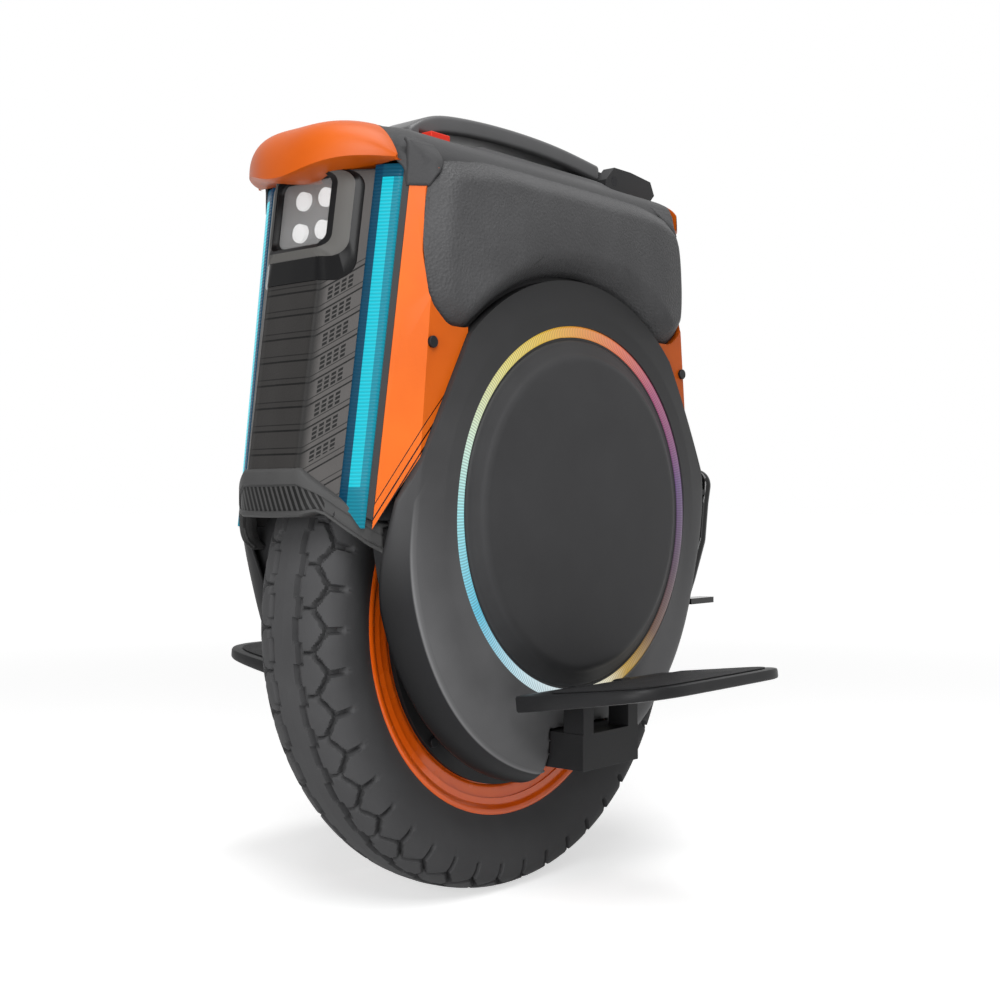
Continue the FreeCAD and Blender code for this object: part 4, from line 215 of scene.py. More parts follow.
def settle(made, values):
    """Gives a node's inputs, by name or number, a socket to follow or a value."""
    for key, source in values.items():
        if isinstance(source, bpy.types.NodeSocket):
            made.id_data.links.new(source, made.inputs[key])
        else:
            made.inputs[key].default_value = source


def add(tree, kind, links=None, stops=(), **settings):
    """Adds a shader node with its links and settings.

    Where stops gives the bands of a colour ramp, as (place, hex), the settings are the ramp's.
    """
    made = tree.nodes.new("ShaderNode" + kind)
    holder = made.color_ramp if stops else made
    for name, setting in settings.items():
        setattr(holder, name, setting)
    settle(made, links or {})
    if stops:
        while len(holder.elements) < len(stops):
            holder.elements.new(0.5)
        for band, (place, code) in zip(holder.elements, stops):
            band.position = place
            band.color = linear(code)
    return made


def blank(name):
    """A material without nodes, and its tree."""
    material = bpy.data.materials.new(name)
    material.use_nodes = True
    material.node_tree.nodes.clear()
    return material, material.node_tree


def start_finish(name):
    """An empty material, its object and flat coordinates, and its shader linked to the surface."""
    material, tree = blank(name)
    where = add(tree, "TexCoord").outputs
    shader = add(tree, "BsdfPrincipled")
    add(tree, "OutputMaterial", {"Surface": shader.outputs[0]})
    return material, tree, where["Object"], where["UV"], shader


# The noise is read between these values, and most plastics reflect this little.
DRIFT = (0.3, 0.7)
DULL = 0.14


def grained(tree, where, shader, codes, roughness, grain, depth, cloud=45, cells=False):
    """Colour that drifts between two tones over cloud, roughness that drifts with it, and a bump of a grain.

    cloud and grain are widths in millimetres and depth is the height of the bump.
    """
    drift = add(tree, "TexNoise", {"Vector": where, "Scale": 1 / (cloud * MM), "Detail": 3.0}).outputs["Fac"]
    tone = add(tree, "ValToRGB", {"Fac": drift}, list(zip(DRIFT, codes))).outputs["Color"]
    polish = add(tree, "MapRange", {"Value": drift, "From Min": DRIFT[0], "From Max": DRIFT[1],
                                    "To Min": roughness[0], "To Max": roughness[1]}).outputs["Result"]
    if cells:
        pores = add(tree, "TexVoronoi", {"Vector": where, "Scale": 1 / (grain * MM), "Randomness": 0.9})
        height = pores.outputs["Distance"]
    else:
        pores = add(tree, "TexNoise", {"Vector": where, "Scale": 1 / (grain * MM), "Detail": 2.0})
        height = pores.outputs["Fac"]
    bump = add(tree, "Bump", {"Height": height, "Distance": depth * MM, "Strength": 1.0})
    settle(shader, {"Base Color": tone, "Roughness": polish, "Normal": bump.outputs["Normal"],
                    "Specular IOR Level": DULL})
    return tone


def moulded(name, codes, roughness, grain, depth, cells=False, coat=0.0, metallic=0.0, specular=DULL):
    """A finish of one colour family with a grain."""
    material, tree, place, flat, shader = start_finish(name)
    grained(tree, place, shader, codes, roughness, grain, depth, cells=cells)
    settle(shader, {"Coat Weight": coat, "Coat Roughness": 0.12, "Metallic": metallic,
                    "Specular IOR Level": specular})
    return material


# Natural and butadiene rubber, moulded and cured: deep grey, dull, with a faint dusty bloom.
TYRE_RUBBER = moulded("cured_tyre_rubber", ("#3A3A3B", "#434344"), (0.62, 0.78), 1.2, 0.05)
# Cast aluminium with orange enamel: wet-looking colour under a clear coat.
RIM_ENAMEL = moulded("enamelled_cast_aluminium", ("#D9540A", "#E05E10"), (0.22, 0.3), 2.5, 0.01, coat=0.5)
# ABS moulded in orange with a satin skin: even colour and soft wide highlights.
ORANGE_ABS = moulded("satin_moulded_orange_abs", ("#AC4A08", "#B4500A"), (0.36, 0.46), 0.8, 0.012,
                     specular=0.2)
# Black polycarbonate blend, spark-eroded tool: matte charcoal with a fine even grain.
SHELL_BLACK = moulded("eroded_black_polycarbonate", ("#2A2A2B", "#303031"), (0.5, 0.6), 0.9, 0.035)
# The same blend from a finer tool: the disc looks smooth and slightly silky.
DISC_BLACK = moulded("silky_black_polycarbonate", ("#2F2F30", "#353536"), (0.46, 0.54), 0.6, 0.012)
# Moulded polyurethane skin with a leather grain over foam: pebbled cells that sparkle where the light grazes.
PAD_SKIN = moulded("grained_polyurethane_skin", ("#3A3A3B", "#464647"), (0.46, 0.58), 2.0, 0.42, cells=True)
# Top shell of the same blend as the body, with a visible pebble grain.
TOP_GRAIN = moulded("pebbled_black_polycarbonate", ("#303031", "#3A3A3B"), (0.48, 0.58), 1.8, 0.25)
# Glass-filled nylon handle with a soft satin skin: lighter grey than the shell.
HANDLE_GREY = moulded("satin_glass_filled_nylon", ("#454546", "#4C4C4D"), (0.3, 0.4), 0.7, 0.01,
                      specular=0.3)
# Polished black polycarbonate: near black with clear reflections.
GLOSS_BLACK = moulded("polished_black_polycarbonate", ("#080809", "#0B0B0C"), (0.12, 0.2), 3.0, 0.004,
                      coat=0.3)
# Die-cast alloy with black powder coat: a slight orange-peel on dark satin.
POWDER_BLACK = moulded("powder_coated_cast_alloy", ("#1A1A1B", "#202021"), (0.4, 0.5), 1.8, 0.03)
# Steel tube with gloss black paint: strong narrow highlights.
STAND_PAINT = moulded("gloss_painted_steel", ("#0B0B0C", "#101011"), (0.14, 0.22), 4.0, 0.006, coat=0.4)
# Soft red acrylic-butadiene tab with a satin skin.
TAB_RED = moulded("satin_red_abs", ("#CC2E20", "#D63A2A"), (0.36, 0.46), 0.8, 0.012)
# Vulcanised cap and cable sheath: dull black.
SOFT_BLACK = moulded("soft_black_rubber", ("#232324", "#2B2B2C"), (0.62, 0.74), 1.0, 0.03)
# Red methacrylate lens: deep colour with a clear gloss.
TAIL_RED = moulded("red_methacrylate", ("#7C0F0F", "#8A1413"), (0.1, 0.16), 3.0, 0.01, coat=0.4)
# Ground steel: bright with fine scratches.
GROUND_STEEL = moulded("ground_steel", ("#B4B4B6", "#C4C4C6"), (0.28, 0.38), 0.9, 0.01, metallic=1.0)
# Black-oxide screws: dark metal with a soft sheen.
BLACK_OXIDE = moulded("black_oxide_steel", ("#28282A", "#303032"), (0.36, 0.46), 0.8, 0.01, metallic=0.8)
# Rolled aluminium plate: pale and slightly streaked.
PLAIN_ALUMINIUM = moulded("rolled_aluminium", ("#B8B9BA", "#C6C7C8"), (0.36, 0.48), 1.0, 0.01, metallic=1.0)
# Enamelled copper wire: warm metal under varnish.
COPPER_WIRE = moulded("enamelled_copper", ("#9A5528", "#AE6432"), (0.26, 0.36), 0.6, 0.06, metallic=0.9)
# Stacked electrical steel: dull grey with lines of laminations.
LAMINATIONS = moulded("laminated_steel", ("#6E6E72", "#7C7C80"), (0.42, 0.54), 0.5, 0.04, metallic=0.9)
# Heat-shrunk film round the cells: dark blue with a soft gloss.
SHRINK_WRAP = moulded("heat_shrunk_film", ("#1C3560", "#22406F"), (0.26, 0.36), 6.0, 0.05)
# Glass-epoxy board with solder mask.
BOARD_GREEN = moulded("solder_masked_glass_epoxy", ("#17552F", "#1C6238"), (0.3, 0.4), 1.5, 0.02)


RING_TEETH = 420.0
RING_COLOURS = ((0, "#F4F8F8"), (0.04, "#F0E9C8"), (0.069, "#C8A03C"), (0.125, "#6E4A32"),
                (0.194, "#5A3F52"), (0.278, "#6A4A80"), (0.375, "#B0507A"), (0.444, "#F07A50"),
                (0.5, "#F5A03C"), (0.56, "#F2C83C"), (0.61, "#F0E27A"), (0.694, "#D8F5E0"),
                (0.75, "#9FEAF0"), (0.833, "#55C8E8"), (0.917, "#D8F6FF"), (1, "#F4F8F8"))


def ring_light():
    """Colour by the angle round the disc, atan2(x, z - disc height), crossed by fine teeth."""
    material, tree, place, flat, shader = start_finish("frosted_methacrylate_light_ring")
    x, _, z = add(tree, "SeparateXYZ", {"Vector": place}).outputs
    up = add(tree, "Math", {0: z, 1: DISC_Z * MM}, operation="SUBTRACT").outputs[0]
    angle = add(tree, "Math", {0: x, 1: up}, operation="ARCTAN2").outputs[0]
    share = add(tree, "MapRange", {"Value": angle, "From Min": -math.pi, "From Max": math.pi})
    glow = add(tree, "ValToRGB", {"Fac": share.outputs["Result"]}, RING_COLOURS).outputs["Color"]
    turn = add(tree, "Math", {0: angle, 1: RING_TEETH}, operation="MULTIPLY").outputs[0]
    teeth = add(tree, "Math", {0: turn}, operation="SINE").outputs[0]
    dim = add(tree, "MapRange", {"Value": teeth, "From Min": -1.0, "To Min": 0.55}).outputs["Result"]
    lit = add(tree, "VectorMath", {0: glow, "Scale": dim}, operation="SCALE").outputs[0]
    settle(shader, {"Emission Color": lit, "Emission Strength": 0.9, "Base Color": linear("#303234"),
                    "Roughness": 0.35})
    return material


# The ribs' pitch, and the heights between which the bar's ends are told from its length.
RIB_PITCH = 2.4
BAR_SPAN = (280.0, 520.0)
BAR_COLOURS = ((0, "#0C3A58"), (0.32, "#124A68"), (0.33, "#18DCF0"), (0.72, "#20E4F4"), (0.73, "#169CB2"),
               (1, "#14889C"))
BAR_ENDS = ((0, "#1C8FA6"), (0.1, "#FFFFFF"), (0.955, "#16506A"))


def bar_light():
    """Colour by the way across the bar (u) and crossed by ribs along its length (v, in millimetres)."""
    material, tree, place, flat, shader = start_finish("ribbed_methacrylate_light_guide")
    across, along, _ = add(tree, "SeparateXYZ", {"Vector": flat}).outputs
    ribs = add(tree, "Math", {0: along, 1: 2 * math.pi / RIB_PITCH}, operation="MULTIPLY").outputs[0]
    wave = add(tree, "Math", {0: ribs}, operation="SINE").outputs[0]
    band = add(tree, "ValToRGB", {"Fac": across}, BAR_COLOURS, interpolation="CONSTANT").outputs["Color"]
    low, high = BAR_SPAN
    share = add(tree, "MapRange", {"Value": along, "From Min": low, "From Max": high}).outputs["Result"]
    ends = add(tree, "ValToRGB", {"Fac": share}, BAR_ENDS, interpolation="CONSTANT").outputs["Color"]
    whole = add(tree, "Mix", {0: 1.0, 6: band, 7: ends}, data_type="RGBA", blend_type="DARKEN").outputs[2]
    dim = add(tree, "MapRange", {"Value": wave, "From Min": -1.0, "To Min": 0.74}).outputs["Result"]
    lit = add(tree, "VectorMath", {0: whole, "Scale": dim}, operation="SCALE").outputs[0]
    bump = add(tree, "Bump", {"Height": wave, "Distance": 0.15 * MM})
    settle(shader, {"Emission Color": lit, "Emission Strength": 0.85, "Normal": bump.outputs[0],
                    "Base Color": linear("#062630"), "Roughness": 0.3, "Specular IOR Level": 0.1})
    return material


# One rung of the front panel, the part of it that has holes, and how far out and how high the holes go.
RUNG = 15.5
HOLE_RUNG = (0.36, 0.94)
HOLE_OUT = (31.5, 46.0)
HOLE_UP = (317.0, 445.0)
LINES_TOP = 447.0
# Shades over the first 60 mm out from the middle, and over one rung. Out from the middle the spine is darker
# than the wings, and the crease between them, about 22 to 31 mm out, is painted shade; over one rung the deep
# and faint cut lines are painted shade.
FRONT_SPAN = 60.0
FRONT_SHADES = ((0, "#A4A4A4"), (0.37, "#A0A0A0"), (0.45, "#6C6C6C"), (0.52, "#FFFFFF"), (1, "#FFFFFF"))
RUNG_SHADES = ((0, "#303030"), (0.08, "#FFFFFF"), (0.27, "#787878"), (0.32, "#FFFFFF"))


def front_grey():
    """Grained panel with its own (distance from the middle, height) in millimetres: painted shade in the
    crease beside the spine, and cut lines and holes.

    One rung holds a deep line, a faint line and, on the wings, four by three holes; lines and holes are
    painted shade, with no depth.
    """
    material, tree, place, flat, shader = start_finish("grained_grey_polycarbonate")
    tone = grained(tree, place, shader, ("#403E3D", "#484645"), (0.46, 0.56), 1.2, 0.1)
    out, high, _ = add(tree, "SeparateXYZ", {"Vector": flat}).outputs
    share = add(tree, "MapRange", {"Value": out, "From Max": FRONT_SPAN}).outputs["Result"]
    # The spine's darker tone, then painted shade in the crease beside it.
    side = add(tree, "ValToRGB", {"Fac": share}, FRONT_SHADES).outputs["Color"]
    pitch = add(tree, "Math", {0: high, 1: RUNG}, operation="DIVIDE").outputs[0]
    rung = add(tree, "Math", {0: pitch}, operation="FRACT").outputs[0]
    # Cut lines painted as shade: dark for the deep line, lighter for the faint one.
    lines = add(tree, "ValToRGB", {"Fac": rung}, RUNG_SHADES, interpolation="CONSTANT").outputs["Color"]
    bounds = [(rung, *HOLE_RUNG), (out, *HOLE_OUT), (high, *HOLE_UP)]
    for (value, low, top), count, part in ((bounds[0], 3.0, (0.14, 0.8)), (bounds[1], 4.0, (0.1, 0.8))):
        cells = add(tree, "MapRange", {"Value": value, "From Min": low, "From Max": top, "To Max": count},
                    clamp=False).outputs["Result"]
        bounds.append((add(tree, "Math", {0: cells}, operation="FRACT").outputs[0], *part))
    holes = 1.0
    for value, low, top in bounds:
        inside = add(tree, "Math", {0: value, 1: (low + top) / 2, 2: (top - low) / 2}, operation="COMPARE")
        holes = add(tree, "Math", {0: holes, 1: inside.outputs[0]}, operation="MULTIPLY").outputs[0]
    below = add(tree, "Math", {0: high, 1: LINES_TOP}, operation="LESS_THAN").outputs[0]
    shade = add(tree, "Mix", {0: 1.0, 6: tone, 7: side}, data_type="RGBA", blend_type="MULTIPLY").outputs[2]
    shade = add(tree, "Mix", {0: below, 6: shade, 7: lines}, data_type="RGBA",
                blend_type="MULTIPLY").outputs[2]
    # Holes painted near black: painted shade inside them.
    shade = add(tree, "Mix", {0: holes, 6: shade, 7: linear("#080808")}, data_type="RGBA").outputs[2]
    settle(shader, {"Base Color": shade})
    return material


# Pitch, slant and half reach across of the nose guard's slots.
SLOT_PITCH, SLOT_SLANT, SLOT_REACH = 4.6, 13.0, 42


def nose_slots():
    """Grained nylon with its own (way along, share of the way down); a band of its face has slanted slots
    painted near black, the painted shade inside them.
    """
    material, tree, place, flat, shader = start_finish("slotted_glass_filled_nylon")
    tone = grained(tree, place, shader, ("#383838", "#404040"), (0.48, 0.6), 1.2, 0.08)
    along, down, _ = add(tree, "SeparateXYZ", {"Vector": flat}).outputs
    side = add(tree, "SeparateXYZ", {"Vector": place}).outputs["Y"]
    slant = add(tree, "Math", {0: down, 1: -SLOT_SLANT, 2: along}, operation="MULTIPLY_ADD").outputs[0]
    stripe = add(tree, "Math", {0: slant, 1: SLOT_PITCH}, operation="DIVIDE").outputs[0]
    stripe = add(tree, "Math", {0: stripe}, operation="FRACT").outputs[0]
    cut = add(tree, "Math", {0: stripe, 1: 0.56}, operation="LESS_THAN").outputs[0]
    for value, middle, reach in ((down, 0.62, 0.25), (side, 0.0, SLOT_REACH * MM)):
        inside = add(tree, "Math", {0: value, 1: middle, 2: reach}, operation="COMPARE").outputs[0]
        cut = add(tree, "Math", {0: cut, 1: inside}, operation="MULTIPLY").outputs[0]
    # The slots are painted shade: near black where the face is cut.
    shade = add(tree, "Mix", {0: cut, 6: tone, 7: linear("#0C0C0C")}, data_type="RGBA").outputs[2]
    settle(shader, {"Base Color": shade})
    return material


# Where the way across the side panel is read from, how far, and its stripes as (middle, half width).
STRIPES_FROM, STRIPES_SPAN = 229, 100
STRIPES = ((262.6, 0.8), (266, 0.8), (269.6, 0.75), (273.6, 0.7), (278, 0.6), (283.5, 0.5))
STRIPES_WAY = (0.733, -0.827, 0.681)


def striped_orange():
    """Satin orange with thin dark lines where 0.733 |x| - 0.827 |y| + 0.681 |z| takes set values."""
    material, tree, place, flat, shader = start_finish("striped_satin_orange_abs")
    tone = grained(tree, place, shader, ("#BE540E", "#C65C14"), (0.36, 0.46), 0.8, 0.012)
    spot = add(tree, "VectorMath", {0: place}, operation="ABSOLUTE").outputs[0]
    way = add(tree, "VectorMath", {0: spot, 1: STRIPES_WAY}, operation="DOT_PRODUCT").outputs["Value"]
    share = add(tree, "MapRange", {"Value": way, "From Min": STRIPES_FROM * MM,
                                   "From Max": (STRIPES_FROM + STRIPES_SPAN) * MM}).outputs["Result"]
    stops = [(0, "#FFFFFF")]
    for middle, half in STRIPES:
        stops += [((middle - half - STRIPES_FROM) / STRIPES_SPAN, "#2A1710"),
                  ((middle + half - STRIPES_FROM) / STRIPES_SPAN, "#FFFFFF")]
    stripes = add(tree, "ValToRGB", {"Fac": share}, stops, interpolation="CONSTANT").outputs["Color"]
    shade = add(tree, "Mix", {0: 1.0, 6: tone, 7: stripes}, data_type="RGBA",
                blend_type="MULTIPLY").outputs[2]
    settle(shader, {"Base Color": shade})
    return material


# Width over which the cover's edge is read, the part of it that is drawn, and the heights between which
# painted shade darkens the face upward.
EDGE_SPAN, EDGE_WIDTH = 40.0, 11.6
PAINTED_SHADE_FROM, PAINTED_SHADE_TO = 0.2, 0.44
PAINTED_SHADE_STEPS = ((0, "#FFFFFF"), (0.5, "#BEBEBE"), (1, "#8C8C8C"))
# Painted shade on the turn-in and a painted highlight line beside it.
EDGE_SHADE_AND_HIGHLIGHT = ((0, "#141415"), (0.2, "#18181A"), (0.22, "#6C6C6D"), (0.25, "#565657"), (0.29, "#4C4C4D"))


def edged_cover():
    """Grained face with painted shade that darkens it upward; its edge (u is the way in from it) is a painted
    shade, near black, behind a painted highlight line.

    v says where the edge belongs to the bowl and so is drawn.
    """
    material, tree, place, flat, shader = start_finish("eroded_grey_polycarbonate")
    tone = grained(tree, place, shader, ("#4C4C4D", "#545455"), (0.48, 0.58), 0.9, 0.035)
    high = add(tree, "SeparateXYZ", {"Vector": place}).outputs["Z"]
    # Painted shade that darkens the face upward.
    share = add(tree, "MapRange", {"Value": high, "From Min": PAINTED_SHADE_FROM, "From Max": PAINTED_SHADE_TO})
    painted_shade = add(tree, "ValToRGB", {"Fac": share.outputs["Result"]}, PAINTED_SHADE_STEPS).outputs["Color"]
    tone = add(tree, "Mix", {0: 1.0, 6: tone, 7: painted_shade}, data_type="RGBA", blend_type="MULTIPLY").outputs[2]
    inward, bowl, _ = add(tree, "SeparateXYZ", {"Vector": flat}).outputs
    # Painted shade along the turn-in, near black, then a painted highlight line.
    share = add(tree, "MapRange", {"Value": inward, "From Max": EDGE_SPAN}).outputs["Result"]
    edge = add(tree, "ValToRGB", {"Fac": share}, EDGE_SHADE_AND_HIGHLIGHT).outputs["Color"]
    near = add(tree, "Math", {0: inward, 1: EDGE_WIDTH}, operation="LESS_THAN").outputs[0]
    near = add(tree, "Math", {0: near, 1: bowl}, operation="MULTIPLY").outputs[0]
    shade = add(tree, "Mix", {0: near, 6: tone, 7: edge}, data_type="RGBA").outputs[2]
    settle(shader, {"Base Color": shade})
    return material


BEZEL_SHADES = ((0, "#0B0B0C"), (0.42, "#4E4D4B"), (0.68, "#0B0B0C"))


def bezel_gloss():
    """Polished black with a satin grey bevel, told apart by the ring number kept in u."""
    material, tree, place, flat, shader = start_finish("two_tone_polycarbonate_bezel")
    ring = add(tree, "SeparateXYZ", {"Vector": flat}).outputs["X"]
    shade = add(tree, "ValToRGB", {"Fac": ring}, BEZEL_SHADES, interpolation="CONSTANT").outputs["Color"]
    polish = add(tree, "MapRange", {"Value": ring, "From Min": 0.66, "From Max": 0.7, "To Min": 0.42,
                                    "To Max": 0.2}).outputs["Result"]
    settle(shader, {"Base Color": shade, "Roughness": polish, "Specular IOR Level": 0.12})
    return material


def plain_light(name, code, strength, alpha=1.0):
    """A clear or lit plastic with a faint unevenness, glowing in its own colour; on a piece that is no lamp,
    such as the lens, the glow is painted light.
    """
    material, tree, place, flat, shader = start_finish(name)
    grained(tree, place, shader, (code, code), (0.1, 0.2), 2.0, 0.01)
    settle(shader, {"Emission Color": linear(code), "Emission Strength": strength, "Alpha": alpha})
    return material


# Frosted methacrylate over coloured diodes: a thin toothed line of light round the disc.
RING_LIGHT = ring_light()
# Ribbed light guide: dark blue foot, bright cyan core and a teal outer edge.
BAR_LIGHT = bar_light()
# Grey front panel with painted shade in the crease beside the spine, and cut lines and small hole fields
# painted dark as shade.
FRONT_GREY = front_grey()
# Nose guard with slanted slots across its face, painted near black as painted shade.
NOSE_SLOTS = nose_slots()
# Orange side panel with fine black lines that run along its lower edge.
ORANGE_STRIPED = striped_orange()
# Lower cover: charcoal face with a fine grain, painted darker upward as shade, and along the edge that turns
# in to the wheel a painted near-black shade behind a painted highlight line.
COVER_GREY = edged_cover()
# Headlight surround: gloss black with a grey bevel.
BEZEL = bezel_gloss()
# Smoked headlight cover: a grey veil with a clear reflection, and a faint grey glow of its own that is
# painted light.
LENS = plain_light("smoked_polycarbonate_lens", "#8A8A8A", 0.12, alpha=0.5)
# White diode emitters.
LED_WHITE = plain_light("white_diode", "#FFFFFF", 1.7)
# Vulcanised rubber sheet with grit pressed in: black with a sandy sparkle.
GRIP_RUBBER = moulded("gritty_rubber_sheet", ("#19191A", "#212122"), (0.55, 0.7), 0.9, 0.16, cells=True)


# Wheel.

# Pitches of the tread, points to a pitch, and the tyre section's reach over the foot it stands on.
PITCHES, PITCH_STEPS = 44, 20
SECTION, SECTION_FOOT, BEAD = (57, 37), (153, 0), (150, 23)
TYRE_OUT = ((1, 0), (0.985, 0.34), (0.94, 0.62), (0.85, 0.86), (0.74, 0.97), (0.6, 1), (0.4, 0.95),
            (0.2, 0.82), (0.06, 0.69))
TYRE_IN = ((0.1, 0.42), (0.3, 0.68), (0.55, 0.8), (0.68, 0.7), (0.75, 0.45), (0.77, 0))


def groove(distance, half):
    """1 within half a width of a groove's middle and 0 outside it, eased over 1.2 mm."""
    return 1 - ease(half - 0.6, half + 0.6, np.abs(distance))


def tyre():
    """A section of (radius, y) carried round the axle, its tread pushed in along the section's normal.

    w is the way over the section from the crown and s the way round in pitches. The depth is the largest
    of: two grooves beside the middle rib, a groove across between the blocks, a chevron groove
    w = 25 + 21 |s| behind them, slots between the shoulder lugs, and a fine ring on the side wall.
    """
    line = smooth_line(np.vstack([np.array(TYRE_OUT) * SECTION + SECTION_FOOT, [BEAD]]), 600)
    way = way_along(line)
    w = np.concatenate([np.linspace(0, 50, 40), np.linspace(50, way[-1], 8)[1:]])
    slope = np.gradient(line, axis=0)
    slope /= np.linalg.norm(slope, axis=1)[:, None]
    r, y, dr, dy = (np.interp(w, way, column) for column in (*line.T, *slope.T))
    inner = smooth_line(np.vstack([[BEAD], np.array(TYRE_IN) * SECTION + SECTION_FOOT]), 7)[1:]
    a = np.linspace(0, 2 * np.pi, PITCHES * PITCH_STEPS, endpoint=False)[:, None]
    sides = []
    for sign, shift in ((1, 0), (-1, 0.5)):
        s = np.abs((a * PITCHES / (2 * np.pi) + shift) % 1 - 0.5)
        rib = 11 + 1.3 * np.where(s < 0.25, 1, -1)
        beside = groove(w - rib - 2.2, 2.1) * 4.6
        across = groove(s * 30, 1.2) * (w > rib + 2) * (w < 26) * 4.2
        chevron = groove(w - 25 - 21 * s, 1.6) * 4.6
        shoulder = groove((0.5 - s) * 30, 2.4) * ease(32, 34, w) * (1 - ease(46, 50, w)) * 5.5
        ring = groove(w - 62, 0.5) * 0.5
        depth = np.maximum.reduce([beside, across, chevron, shoulder, ring + 0 * s])
        radius = np.hstack([r - depth * dy, np.broadcast_to(inner[:, 0], (len(a), len(inner)))])
        wide = np.hstack([y + depth * dr, np.broadcast_to(inner[:, 1], (len(a), len(inner)))])
        sides.append(spots(radius * np.sin(a), sign * wide, AXLE_Z + radius * np.cos(a)))
    return np.concatenate([sides[0], sides[1][:, ::-1]], axis=1)


RIM_LIP = ((151, 22), (153, 22.4), (153.5, 23.8), (152.4, 25.1), (150, 25), (148, 23.8), (146, 22.2),
           (142, 20.9), (137, 20.3), (133.5, 20), (131.6, 19.2), (131, 18))


def rim():
    """Half a rim section, mirrored and carried round the axle."""
    half = np.vstack([[(138, 0), (138, 10), (141, 14), (141, 22)], smooth_line(RIM_LIP, 26),
                      [(118.2, 18), (118.2, 0)]])
    return turned(np.vstack([half, half[::-1] * (1, -1)]), 160, AXLE_Z)


make("tyre_treaded", "wheel", TYRE_RUBBER, [(tyre(), True, True)], ("tyre",), sharp=40)
make("rim_cast", "wheel", RIM_ENAMEL, [(rim(), True, True)], ("rim",))


# Sides.

DISC_EDGE = ((105, 98), (112, 97.6), (115.5, 96.2), (118, 94.4), (124, 91.4), (126.5, 90.6), (127.2, 89.4),
             (128.2, 89.4), (129.2, 90.2), (129.4, 88.5))
DISC_LINE = np.vstack([[(0, 98.6), (60, 98.4)], smooth_line(DISC_EDGE, 24),
                       [(129.4, 84.2), (116, 84.2), (116, 93), (0, 93)]])
RING_LINE = np.vstack([[(129.6, 84.2)], smooth_line(((129.6, 90.4), (131, 91.3), (133.5, 91.6), (136, 91.3),
                                                     (137.4, 90.4)), 12), [(137.4, 84.2)]])


# Radii about the disc's middle: the arch, the widest way out, and the bowl's round edge about a lower point.
ARCH_R, WIDEST_R, BOWL_R, BOWL_DROP = 171, 182, 176, 25
# The straight line between arch and bowl is sin(angle) + LINE_SLOPE cos(angle) = LINE_REACH / r.
LINE_REACH, LINE_SLOPE = 186.45, 0.5418
# Half width and top of the opening over the pedal hanger.
NOTCH_HALF, NOTCH_TOP = 36, 132


def lower_cover():
    """Rows from the light ring's edge out to R(angle), the angle taken from straight up.

    R is an arch, then a straight line, then the bowl's round edge. The face is a flat dome above and,
    eased in between 80 and 112 degrees, a bowl that turns in at its edge.
    """
    a = np.radians(np.linspace(0, 360, 480, endpoint=False))[:, None]
    side = np.minimum(a, 2 * np.pi - a)
    line = LINE_REACH / np.maximum(np.sin(side) + LINE_SLOPE * np.cos(side), 0.3)
    line = np.minimum(line, WIDEST_R)
    bowl = -BOWL_DROP * np.cos(side)
    bowl += np.sqrt(BOWL_R ** 2 - BOWL_DROP ** 2 + (BOWL_DROP * np.cos(side)) ** 2)
    low = (WIDEST_R + bowl + np.sqrt((WIDEST_R - bowl) ** 2 + 36)) / 2
    turn = ease(math.radians(86), math.radians(100), side)
    edge = np.where(side < math.radians(45.05), ARCH_R, line) * (1 - turn) + low * turn
    r = RING_R + (edge - RING_R) * (1 - (1 - np.linspace(0, 1, 36)) ** 1.9)
    dome = np.interp(r, (RING_R, 150, ARCH_R, WIDEST_R), (92, 92, 89, 83))
    inside = np.clip(1 - (edge - r) / 38, 0, 1)
    bowl_y = 58 + 31 * np.maximum(1 - inside ** 3.2, 0) ** 0.55 + 3 * ease(36, 60, edge - r)
    k = ease(math.radians(80), math.radians(112), side)
    y = dome * (1 - k) + bowl_y * k
    r = np.hstack([np.full_like(a, RING_R), r, edge])
    y = np.hstack([np.full_like(a, 84.2), y, 80.3 * (1 - k) + 56 * k])
    x, z = r * np.sin(a), DISC_Z + r * np.cos(a)
    uv = spots(edge - r, k)
    beside = (z < NOTCH_TOP + 2) & (np.abs(np.abs(x) - NOTCH_HALF) < 1.6)
    x = np.where(beside, NOTCH_HALF * np.sign(x), x)
    z = np.where((np.abs(x) < NOTCH_HALF + 1) & (np.abs(z - NOTCH_TOP) < 2.2), NOTCH_TOP, z)
    return spots(x, y, z), uv


def in_notch(middles):
    """The opening over the pedal hanger."""
    return (np.abs(middles[:, 0]) < NOTCH_HALF) & (middles[:, 2] < NOTCH_TOP)


PAD_EDGE = ((120, 414.6), (128, 412.9), (141, 415.6), (152.4, 424.6), (157.2, 439), (158.4, 460), (157, 482),
            (154, 502), (150.4, 511), (142.6, 520.8), (131, 524.3), (116, 526.2), (93.6, 529), (20, 529.8),
            (-50, 529.8), (-85, 529), (-112, 525.6), (-124, 523), (-132.5, 519), (-138.5, 511), (-142, 502),
            (-144.6, 483), (-145.9, 464), (-145, 448), (-142.2, 437.8), (-135, 430), (-126, 424.7),
            (-116, 423.5), (-108.5, 425))
PAD_SHARES = (0, 0.005, 0.011, 0.018, 0.026, 0.035, 0.045, 0.056, 0.068, 0.082, 0.098, 0.116, 0.136, 0.16,
              0.19, 0.225, 0.27, 0.32, 0.38, 0.45, 0.53, 0.62, 0.72, 0.84, 1)
# The pad's back, its middle (x, z) and the radius of the arch it leaves free over the disc.
PAD_BACK_Y, PAD_MIDDLE, PAD_ARCH_R = 80.4, (5, 512), 174


